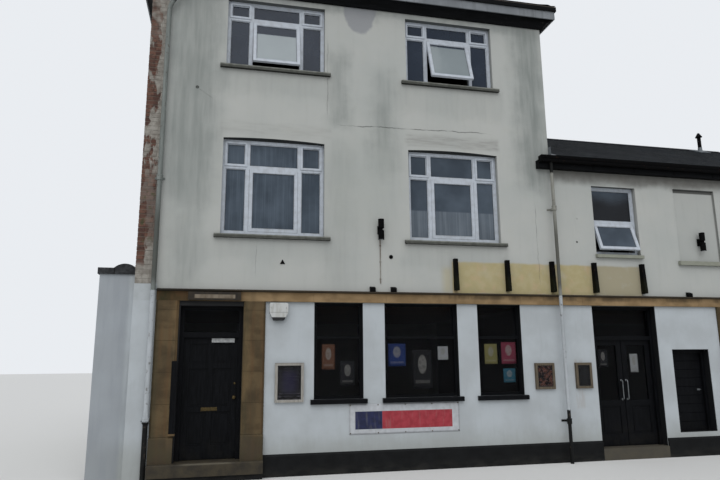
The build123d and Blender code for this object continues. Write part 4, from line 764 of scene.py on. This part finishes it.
# Box cornice of the tall block: moulded softwood painted black, with a dirty white board between the soffit
# moulding and the cap, nailed up in lengths whose joints have opened.
moulding, place, x, y, z = new_finish("cornice_black", "cornice_front_and_rear", "cornice_sides",
                                      "wing_fascia", specular=0.05)
brush, flaked = place.grain(0.03, 3.0, wide=12, deep=12), place.grain(0.07, 5.0).rise(0.68, 0.72)
lay(moulding, [brush.tones("090a0b", "111214"), (0.35 * flaked, "4a4641")], 0.42 + 0.25 * brush,
    brush * 0.5 - flaked * 0.5, 0.001)
board, place, x, y, z = new_finish("cornice_white", "cornice_fascia", specular=0.25)
runs, board_joint = place.grain(0.06, 4.0, 8), (x + 0.22).maths("PINGPONG", 1.22).rise(0.004, 0.002)
coats = [place.grain(0.5).tones("6b6f73", "7f8387"), (0.65 * runs.rise(0.5, 0.7), "63666a"),
         (0.7 * board_joint, "2b2c2d")]
lay(board, coats, 0.5 + 0.3 * runs, runs * 0.5 - board_joint, 0.001)


# Roofs: riven blue-grey slates 250 wide nailed in 200 courses on boarding, each lying over the joint below;
# the hipped roof and the wing's gabled one are capped with angled clay tiles bedded in mortar.
def on_slope(points, origin, along, up):
    """Lays points (a, u, n) on a roof slope: origin + a along the eaves + u up the slope + n out of it."""
    return np.array(points) @ np.array([along, up, np.cross(along, up)]) + np.array(origin)


def slated(origin, along, up, length, height, hip, seed):
    """Slates over a slope: row i starts at gauge times i, its slates moved half a width on odd rows. Each
    corner's a is held between hip * u and length - hip * u, which cuts the slates to the hips."""
    rows, columns = int(np.ceil(height / gauge)), int(length / slate_width) + 2
    i, j = [v.ravel() for v in np.meshgrid(np.arange(rows), np.arange(-1, columns), indexing="ij")]
    jog, drop, lift = np.random.default_rng(seed).normal(0, 1, (3, len(i)))
    left = (j + 0.5 * (i % 2)) * slate_width + 0.0015 * jog
    low = np.maximum(gauge * i + 0.003 * drop, 0)
    high = np.minimum(low + gauge + slate_lap, height)
    right_side, upper_end = np.array([0, 1] * 4), np.array([0, 0, 1, 1] * 2)
    u = np.where(upper_end, high[:, None], low[:, None])
    a = np.clip(left[:, None] + right_side * (slate_width - slate_gap), hip * u, length - hip * u)
    n = np.where(upper_end, 0.001, 0.012 + 0.001 * np.clip(lift, -1, 1)[:, None])
    n[:, 4:] += slate_thickness
    kept = (a[:, 1] - a[:, 0] > 0.03) & (high - low > 0.03)
    points = np.stack([a, u, n - roof_sink], -1)[kept].reshape(-1, 3)
    return on_slope(points, origin, along, up), boxes(np.zeros((kept.sum(), 3)), 1)[1]


def capping(start, end, normal_a, normal_b):
    """Angled tiles from start to end over the meeting of two slopes. Tile section: arms 0.13 long down each
    slope, and a spine where the raised planes meet, at (na + nb) / (1 + na.nb) times their height."""
    start, run = np.array(start), np.subtract(end, start)
    count, forward = max(int(np.linalg.norm(run) / 0.45), 1), run / np.linalg.norm(run)
    arm_a, arm_b = [0.13 * arm * -np.sign(arm[2]) for arm in (np.cross(normal_a, forward),
                                                               np.cross(normal_b, forward))]
    spine = (normal_a + normal_b) / (1 + normal_a @ normal_b)
    low, high = 0.021 - roof_sink, 0.033 - roof_sink
    section = np.array([spine * high, arm_a + normal_a * high, arm_a + normal_a * low, spine * low,
                        arm_b + normal_b * low, arm_b + normal_b * high])
    ends = start + run * np.linspace(0, 1, count + 1)[:, None]
    pairs = np.stack([ends[:-1] + forward * 0.003, ends[1:] - forward * 0.003], 1)
    caps = [[0, 3, 2, 1], [0, 5, 4, 3], [6, 7, 8, 9], [6, 9, 10, 11]]
    faces = np.vstack([skin(2, 6, False, True)[:, [0, 3, 2, 1]], caps]) + 12 * np.arange(count)[:, None, None]
    return (pairs[:, :, None] + section).reshape(-1, 3), faces.reshape(-1, 4)


def boarding(eaves, ridge, sink, depth):
    """The boards under a slope as a closed solid between its eaves and ridge lines: tops sink below them
    and undersides depth lower."""
    outline = np.array([*eaves, *ridge[::-1]], float)
    return np.vstack([outline - (0, 0, sink), outline - (0, 0, depth)]), np.array(
        [[0, 1, 2, 3], [4, 7, 6, 5], [0, 4, 5, 1], [1, 5, 6, 2], [2, 6, 7, 3], [3, 7, 4, 0]])


gauge, slate_lap, roof_sink = 0.20, 0.055, 0.040
slate_width, slate_gap, slate_thickness = 0.25, 0.004, 0.006
pitch, over, eaves_level, soffit_level = np.radians(30.0), 0.25, 8.63, 8.57
level_part, steep_part = np.cos(pitch), np.sin(pitch)
width, depth = 7.34 + 2 * over, 6.8 + 2 * over
half = depth / 2
ridge_level = eaves_level + half * np.tan(pitch)
ridge_left = (half - over, half - over, ridge_level)
ridge_right = (width - half - over, half - over, ridge_level)
eaves_corners = [(-over, -over, eaves_level), (width - over, -over, eaves_level),
                 (width - over, depth - over, eaves_level), (-over, depth - over, eaves_level)]
slopes = [((1, 0, 0), (0, level_part, steep_part), width, (ridge_left, ridge_right)),
          ((0, 1, 0), (-level_part, 0, steep_part), depth, (ridge_right, ridge_right)),
          ((-1, 0, 0), (0, -level_part, steep_part), width, (ridge_right, ridge_left)),
          ((0, -1, 0), (level_part, 0, steep_part), depth, (ridge_left, ridge_left))]
normals = [np.cross(along, up) for along, up, length, ridge in slopes]
main_slates, main_boards, main_tiles = [], [], [capping(ridge_left, ridge_right, normals[0], normals[2])]
for k, (along, up, length, ridge) in enumerate(slopes):
    eaves = eaves_corners[k], eaves_corners[(k + 1) % 4]
    main_slates.append(slated(eaves[0], along, up, length, half / level_part, level_part, k))
    main_boards.append(boarding(eaves, ridge, roof_sink / level_part, 0.2))
    main_boards[-1][0][4:6, 2] = soffit_level
    foot = 0.98 * np.array(eaves[0]) + 0.02 * np.array(ridge[0])
    main_tiles.append(capping(foot, ridge[0], normals[k], normals[k - 1]))
wing_pitch, wing_low, wing_high = np.radians(27.5), -0.11, 3.0
wing_left, wing_right, wing_deep, wing_wall_top = 7.34, 14.2, 6.0, 5.62
wing_eaves = wing_wall_top + wing_low * np.tan(wing_pitch)
wing_ridge = wing_wall_top + wing_high * np.tan(wing_pitch)
wing_length = (wing_high - wing_low) / np.cos(wing_pitch)
front_eave, back_eave = (wing_left, wing_low, wing_eaves), (wing_right, wing_deep - wing_low, wing_eaves)
front_up, back_up = [(0, side * np.cos(wing_pitch), np.sin(wing_pitch)) for side in (1, -1)]
wing_slopes = [(front_eave, (1, 0, 0), front_up), (back_eave, (-1, 0, 0), back_up)]
wing_slates = [slated(*slope, wing_right - wing_left, wing_length, 0.0, seed)
               for slope, seed in zip(wing_slopes, (7, 8))]
ridge_ends = [(wing_left, wing_high, wing_ridge), (wing_right, wing_high, wing_ridge)]
down = roof_sink / np.cos(wing_pitch)
wing_boards = [boarding([front_eave, (wing_right, wing_low, wing_eaves)], ridge_ends, down, 0.12),
               boarding([back_eave, (wing_left, wing_deep - wing_low, wing_eaves)], ridge_ends[::-1],
                        down, 0.12)]
wing_tiles = [capping((wing_left + 0.02, wing_high, wing_ridge), ridge_ends[1],
                      *[np.cross(along, up) for origin, along, up in wing_slopes])]
slate, place, x, y, z = new_finish("roof_slate", specular=0.04)
single = place.node("TexVoronoi", {}, {"Vector": place, "Scale": 3.1, "Randomness": 1.0}, 1).parts()[0]
weathered = place.grain(0.6, 4.0)
lichen = place.grain(0.05, 5.0).rise(0.64, 0.70) * weathered.rise(0.4, 0.6)
coats = [single.over("15181b", "212529"), (0.5 * weathered.rise(0.4, 0.7), "23262a"),
         (0.5 * lichen, "63665a")]
lay(slate, coats, 0.45 + 0.3 * weathered, place.grain(0.03, 4.0) * 0.5 + lichen * 0.4, 0.002)
clay = plain_finish("ridge_clay", (0.09, 4.0), ("2c2e31", "45464a"), (0.65, 0.3), 0.003,
                    specular=0.2)
timber = plain_finish("roof_boards", (0.03, 4.0, 1, 10), ("2b2621", "40382f"), (0.7, 0.2), 0.002)
hip_boards = closed_up(fitted("main_roof_boards", main_boards, timber))
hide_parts("main_roof_front", "main_roof_hips", "main_roof_rear")
gable_boards = fitted("wing_roof_boards", wing_boards, timber)
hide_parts("wing_roof_front", "wing_roof_rear")
fitted("main_roof_slates", main_slates, slate)
fitted("wing_roof_slates", wing_slates, slate)
eased(closed_up(fitted("main_ridge_and_hip_tiles", main_tiles, clay)), 0.004)
eased(closed_up(fitted("wing_ridge_tiles", wing_tiles, clay)), 0.004)


# Leadwork: grey sheet lead dressed over the slates, turned up the tall block's side in steps that follow the
# brick courses, and a lead plate with a welded sleeve round the vent pipe.
lead = plain_finish("sheet_lead", (0.10, 4.0), ("5a5f64", "777c80"), (0.45, 0.3), 0.003, metallic=0.35)
step_count = 18
step = wing_length / step_count
steps_up = step * np.arange(step_count)
cover, cover_faces = boxes([(0.0, at, -0.020) for at in steps_up],
                           [(0.15, at + step + 0.01, -0.017) for at in steps_up])
lead_shapes = []
tread, rise = step * np.cos(wing_pitch), step * np.sin(wing_pitch)
for slope, first, way, back in zip(wing_slopes, (0.0, wing_right - wing_left), (1, -1), (0, tread)):
    lead_shapes.append((on_slope(cover * (way, 1, 1) + (first, 0, 0), *slope), cover_faces))
    feet = on_slope([(0.0, at, -0.02) for at in steps_up], *slope) - (0, back, 0)
    feet[:, 0] = wing_left
    lead_shapes.append(boxes(feet, feet + (0.003, tread, rise + 0.09)))
vent = (13.35, 2.7, wing_wall_top + 2.7 * np.tan(wing_pitch))
flange, flange_faces = boxes((-0.16, -0.20, -0.022), (0.16, 0.20, 0.003))
sleeve = [(0.0, -0.05), (0.052, -0.05), (0.052, 0.075), (0.047, 0.085), (0.0, 0.085)]
lead_shapes += [(on_slope(flange, vent, (1, 0, 0), front_up), flange_faces), turned(sleeve, vent, "z")]
eased(closed_up(fitted("roof_leadwork", lead_shapes, lead)), 0.001)


# Ironwork: cast-iron gutter in lengths on forged brackets, lamps and sign brackets, all under old black gloss
# with rust at the edges, and the cast soil vent with its cowl.
iron, place, x, y, z = new_finish("black_iron", "wing_gutter", "sign_brackets", "outside_lights", "roof_vent",
                                  specular=0.04)
brush, rust = place.grain(0.03, 4.0), place.grain(0.05, 5.0).rise(0.62, 0.70)
green = wall_patch(x, z, 5.3, 9.2, 2.9, 3.2, 0.08) * y.rise(0.0, -0.02)
lay(iron, [brush.tones("050506", "0b0b0c"), (0.35 * rust, "3e2a1c"), (0.35 * green * brush, "2f321d")],
    0.40 + 0.35 * brush, brush * 0.5 + rust * 0.5, 0.001)
gutter_low, gutter_high = from_corner("wing_gutter")
under, back = gutter_low[2], gutter_high[1]
hanger_x = np.arange(gutter_low[0] + 0.25, gutter_high[0] - 0.1, 0.9)
hangers = [boxes([(x - 0.014, back - 0.004, under - 0.085) for x in hanger_x],
                 [(x + 0.014, back, under) for x in hanger_x]),
           boxes([(x - 0.014, back - 0.062, under - 0.005) for x in hanger_x],
                 [(x + 0.014, back, under) for x in hanger_x])]
hanger_screw = [(0, 0), (0.007, 0), (0.006, -0.004), (0, -0.005)]
hangers += [turned(hanger_screw, (x, back - 0.004, under - 0.065), "y", 8) for x in hanger_x]
eased(closed_up(fitted("gutter_brackets", hangers, iron)), 0.001)


# Rainwater pipes: cast iron with socket joints, held off the wall by ears with two spikes each. They were
# painted with the wall: grey above, white by the shop front, and black at the neck and the foot.
pipe_paint, place, x, y, z = new_finish("pipe_paint", specular=0.15)
runs, worn = place.grain(0.05, 4.0, 6), place.grain(0.06, 5.0).rise(0.60, 0.68)
wing_side, up = x.rise(3.0, 4.0), z + 0.04 * (place.grain(0.02, 2.0) - 0.5)
grey = wing_side.over(runs.tones("666b68", "797e7b"), runs.tones("71716b", "8b8b84"))
dark = runs.tones("0a0b0b", "141515")
coats = [up.rise(2.86, 2.88).over(runs.tones("9a9fa2", "abb0b4"), grey),
         (up.rise(2.90, 3.1) * up.rise(4.5, 3.9) * (0.45 + 0.5 * runs), "393a35"),
         (up.rise(0.90, 0.88), dark), (up.rise(7.84, 7.88) + wing_side * up.rise(5.16, 5.20), dark),
         (0.6 * worn, "4b4138")]
lay(pipe_paint, coats, 0.45 + 0.3 * runs, runs * 0.4 - worn * 0.6, 0.001)
pipe_parts = []
swan_neck = [(0.507, -0.160, 8.330), (0.507, -0.160, 8.080), (0.297, -0.066, 7.780), (0.297, -0.066, 0.0)]
straight = [(7.298, -0.142, 5.3827), (7.298, -0.142, 2.6), (7.298, -0.142, 0.0)]
spike = [(0, 0), (0.009, 0), (0.008, -0.006), (0, -0.008)]
for route, radius, levels in ((swan_neck, 0.038, (0.900, 4.700)), (straight, 0.030, (0.700, 4.500))):
    pipe_parts.append(pipe_run(route, radius, 0.10))
    x, y, foot = route[-1]
    bore, r = radius - 0.002, radius + 0.012
    collar = [(bore, -0.045), (r - 0.003, -0.045), (r, -0.040), (r, 0.028), (r + 0.004, 0.032),
              (r + 0.004, 0.045), (bore, 0.045), (bore, -0.045)]
    for level in levels:
        pipe_parts += [turned(collar, (x, y, level), "z"),
                       boxes([(x - 0.014, y, level - 0.015), (x - r - 0.030, -0.006, level - 0.018)],
                             [(x + 0.014, 0.0, level + 0.015), (x + r + 0.030, 0.0, level + 0.018)])]
        pipe_parts += [turned(spike, (x + side * (r + 0.015), -0.006, level), "y", 10) for side in (-1, 1)]
rain_pipes = closed_up(fitted("rainwater_pipes", pipe_parts, pipe_paint))
eased(rain_pipes, 0.001)
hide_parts("downpipes")


# Fixings on the front: bolts in the sign brackets, two tie plates, lenses and a rusty conduit for the wall
# lamp, and the plain box lamp over the main door, its case black and its cover gone yellow.
bolt_head = [(0, 0), (0.010, 0), (0.010, -0.006), (0.006, -0.008), (0.006, -0.013), (0, -0.014)]
bolts = [turned(bolt_head, (x, reach, z), "y", 6) for x in (5.352, 6.340, 7.228, 8.095, 9.116)
         for reach, z in ((-0.110, 2.985), (-0.082, 3.475))]
fitted("bracket_bolts", bolts, iron)
plate_rim = [(0, 0), (0.036, 0), (0.034, -0.010), (0.012, -0.014), (0.011, -0.026), (0, -0.028)]
wedge_rim = [(0, 0), (0.052, 0), (0.046, -0.012), (0, -0.016)]
tie_plates = [turned(plate_rim, (4.183, 0.0, 3.517), "y", 16), turned(wedge_rim, (2.311, 0.0, 3.370), "y", 3)]
closed_up(fitted("tie_plates", tie_plates, iron))
lens = plain_finish("lamp_lens", (0.02,), ("5f6365", "84888a"), (0.15, 0.3))
lenses = [turned([(0, 0), (0.040, 0), (0.038, rise), (0, 1.5 * rise)], (x, y, z), "z")
          for x, y, foot, head in ((3.9892, -0.097, 3.800, 4.160), (10.520, -0.067, 3.810, 4.170))
          for z, rise in ((foot, -0.004), (head, 0.004))]
closed_up(fitted("lamp_lenses", lenses, lens))
conduit_paint = plain_finish("conduit_paint", (0.04, 4.0, 5), ("8d8c85", "5f5146", 0.35, 0.65),
                             (0.6, 0.3), 0.0005, specular=0.2)
conduit = [pipe_run([(3.9892, -0.008, 3.90), (3.9892, -0.008, 3.05)], 0.0075, 0.01, 10)]
conduit += [boxes((3.974, -0.017, z), (4.005, 0.0, z + 0.012)) for z in (3.12, 3.42, 3.70)]
closed_up(fitted("lamp_conduit", conduit, conduit_paint))
box_lamp, place, x, y, z = new_finish("box_lamp", "door_light_box", specular=0.25)
grime, cover = place.grain(0.06, 4.0, 3), wall_patch(x, z, 0.93, 1.56, 2.752, 2.812, 0.004)
lay(box_lamp, [grime.tones("1d1812", "2f271c"), (cover, grime.tones("746a5c", "564c3f"))], 0.4 + 0.3 * grime,
    cover * 0.6 + grime * 0.4, 0.002)


# Alarm box: pressed steel cover in white with its strobe pod black underneath, held by a screw each side.
alarm, place, x, y, z = new_finish("alarm_white", "alarm_box", specular=0.3)
alarm_low, alarm_high = from_corner("alarm_box")
foot, dust = alarm_low[2], place.grain(0.05, 4.0, 4)
shoulder = abs(z - foot - 0.128).rise(0.006, 0.003)
coats = [dust.tones("b7b9b8", "a2a29d", 0.35, 0.75), (0.6 * shoulder, "6f7070"),
         (z.rise(foot + 0.055, foot + 0.045), "1a1b1d")]
lay(alarm, coats, 0.35 + 0.3 * dust, dust * 0.4 - shoulder, 0.001)
middle = (alarm_low[0] + alarm_high[0]) / 2
screw = [(0, 0), (0.007, 0), (0.006, -0.003), (0, -0.003)]
screws = [turned(screw, (middle + side, -0.085, foot + 0.200), "y", 12) for side in (-0.12, 0.12)]
fitted("alarm_screws", screws, steel)


# Menu cases: oak frames gone grey, with a dark board behind a screwed sheet of clear plastic. The boards are
# left bare but for soft level bands, and hold no words.
cases = [(2.220, 2.680, 1.117, 1.734), (6.770, 7.140, 1.240, 1.690), (7.560, 7.880, 1.240, 1.690)]
rim = 0.042
oak, place, x, y, z = new_finish("board_metal", "menu_boards", specular=0.12)
grain = place.grain(0.015, 4.0, 8)
panels = [wall_patch(x, z, left + rim, right - rim, low + rim, high - rim, 0.0015)
          for left, right, low, high in cases]
panel = (panels[0] | panels[1] | panels[2]) * y.rise(-0.030, -0.0275)
lines = z.maths("PINGPONG", 0.022).rise(0.013, 0.016) * place.grain(0.05, 2.0).rise(0.42, 0.55)
lines = lines * z.rise(1.30, 1.24) | 0.35 * lines
board = place.grain(0.12, 2.0).tones("131210", "1b1917")
board = (0.8 * wall_patch(x, z, 2.34, 2.56, 1.27, 1.60, 0.07)).over(board, "242038")
board = (0.40 * lines * x.rise(7.4, 7.3)).over(board, "76727c")
reddish = wall_patch(x, z, 6.82, 7.10, 1.30, 1.63, 0.03) * 0.45
coats = [grain.tones("807d77", "9d9a94"), (0.6 * z.rise(1.724, 1.728), "55534f"),
         (x.rise(6.5, 6.7), grain.tones("4c4438", "645b4e")),
         (panel, (reddish * place.grain(0.05).rise(0.4, 0.6)).over(board, "7d4a38"))]
lay(oak, coats, 0.45 + 0.3 * grain, grain * (1 - panel), 0.001)
clear, place, x, y, z = new_finish("clear_plastic", specular=0.08)
haze = place.grain(0.08)
lay(clear, [haze.tones("2c2e33", "3d4046")], 0.06 + 0.2 * haze, Alpha=0.06 + 0.08 * haze)
covers = [boxes((left + rim, -0.036, low + rim), (right - rim, -0.034, high - rim))
          for left, right, low, high in cases]
fitted("menu_case_covers", covers, clear)
case_screws = [turned([(0, 0), (0.004, 0), (0.003, -0.002), (0, -0.002)], (x, -0.045, z), "y", 8)
               for left, right, low, high in cases for x in (left + rim / 2, right - rim / 2)
               for z in (low + rim / 2, high - rim / 2)]
fitted("menu_case_screws", case_screws, steel)


# Banner: a sheet of white vinyl on the wall under the middle window, with hemmed edges and brass eyelets
# screwed into plugs. Its print is kept to two plain blocks of colour.
def belly(u, v):
    """The slack of the sheet: 3 mm off the wall, and 6 mm times sin(pi u) sin(pi v) + 0.4 sin(5 pi u)
    sin(pi v) (1 - v) + 0.2 further."""
    slack = np.sin(np.pi * u) * np.sin(np.pi * v) + 0.4 * np.sin(5 * np.pi * u) * np.sin(np.pi * v) * (1 - v)
    return -0.003 - 0.006 * (0.2 + slack)


left, right, low, high, hem_width = 3.43, 5.33, 0.585, 1.065, 0.025
vinyl, place, x, y, z = new_finish("printed_vinyl", specular=0.3)
crease = place.grain(0.09, 4.0)
hem = 1 - wall_patch(x, z, left + hem_width, right - hem_width, low + hem_width, high - hem_width, 0.001)
coats = [crease.tones("b4b7bb", "a5a8ac"),
         (wall_patch(x, z, 3.53, 3.985, 0.665, 0.945, 0.002), crease.tones("161b36", "20264a")),
         (wall_patch(x, z, 3.985, 5.20, 0.665, 0.945, 0.002), crease.tones("8a2832", "9c3640")),
         (0.18 * hem, "6e7175"), (0.25 * place.grain(0.05, 4.0, 6).rise(0.5, 0.75), "7c7b75")]
lay(vinyl, coats, 0.35 + 0.25 * crease, crease * 0.8 + hem * 0.2, 0.0015)
banner = fitted("wall_banner", [sheet(left, right, low, high, (61, 17), belly)], vinyl,
                smooth=True)
thickness = banner.modifiers.new("vinyl_thickness", "SOLIDIFY")
thickness.thickness, thickness.offset = 0.0006, 0.0
eyelet = [(0, 0), (0.011, 0), (0.010, -0.008), (0.006, -0.010), (0, -0.010)]
eyelets = [turned(eyelet, (x, 0, z), "y", 14) for x in np.linspace(left + 0.02, right - 0.02, 5)
           for z in (low + 0.02, high - 0.02)]
closed_up(fitted("banner_eyelets", eyelets, brass))


# Ledge: the black board on the left pilaster stands on a small block of the brown stone, 30 mm high,
# which is a little wider and deeper than the board.
low, high = from_corner("jamb_board")
ledge = boxes(low - (0.01, 0.012, 0.030), (high[0] + 0.01, high[1], low[2]))
eased(fitted("board_ledge", [ledge], stone), 0.004)
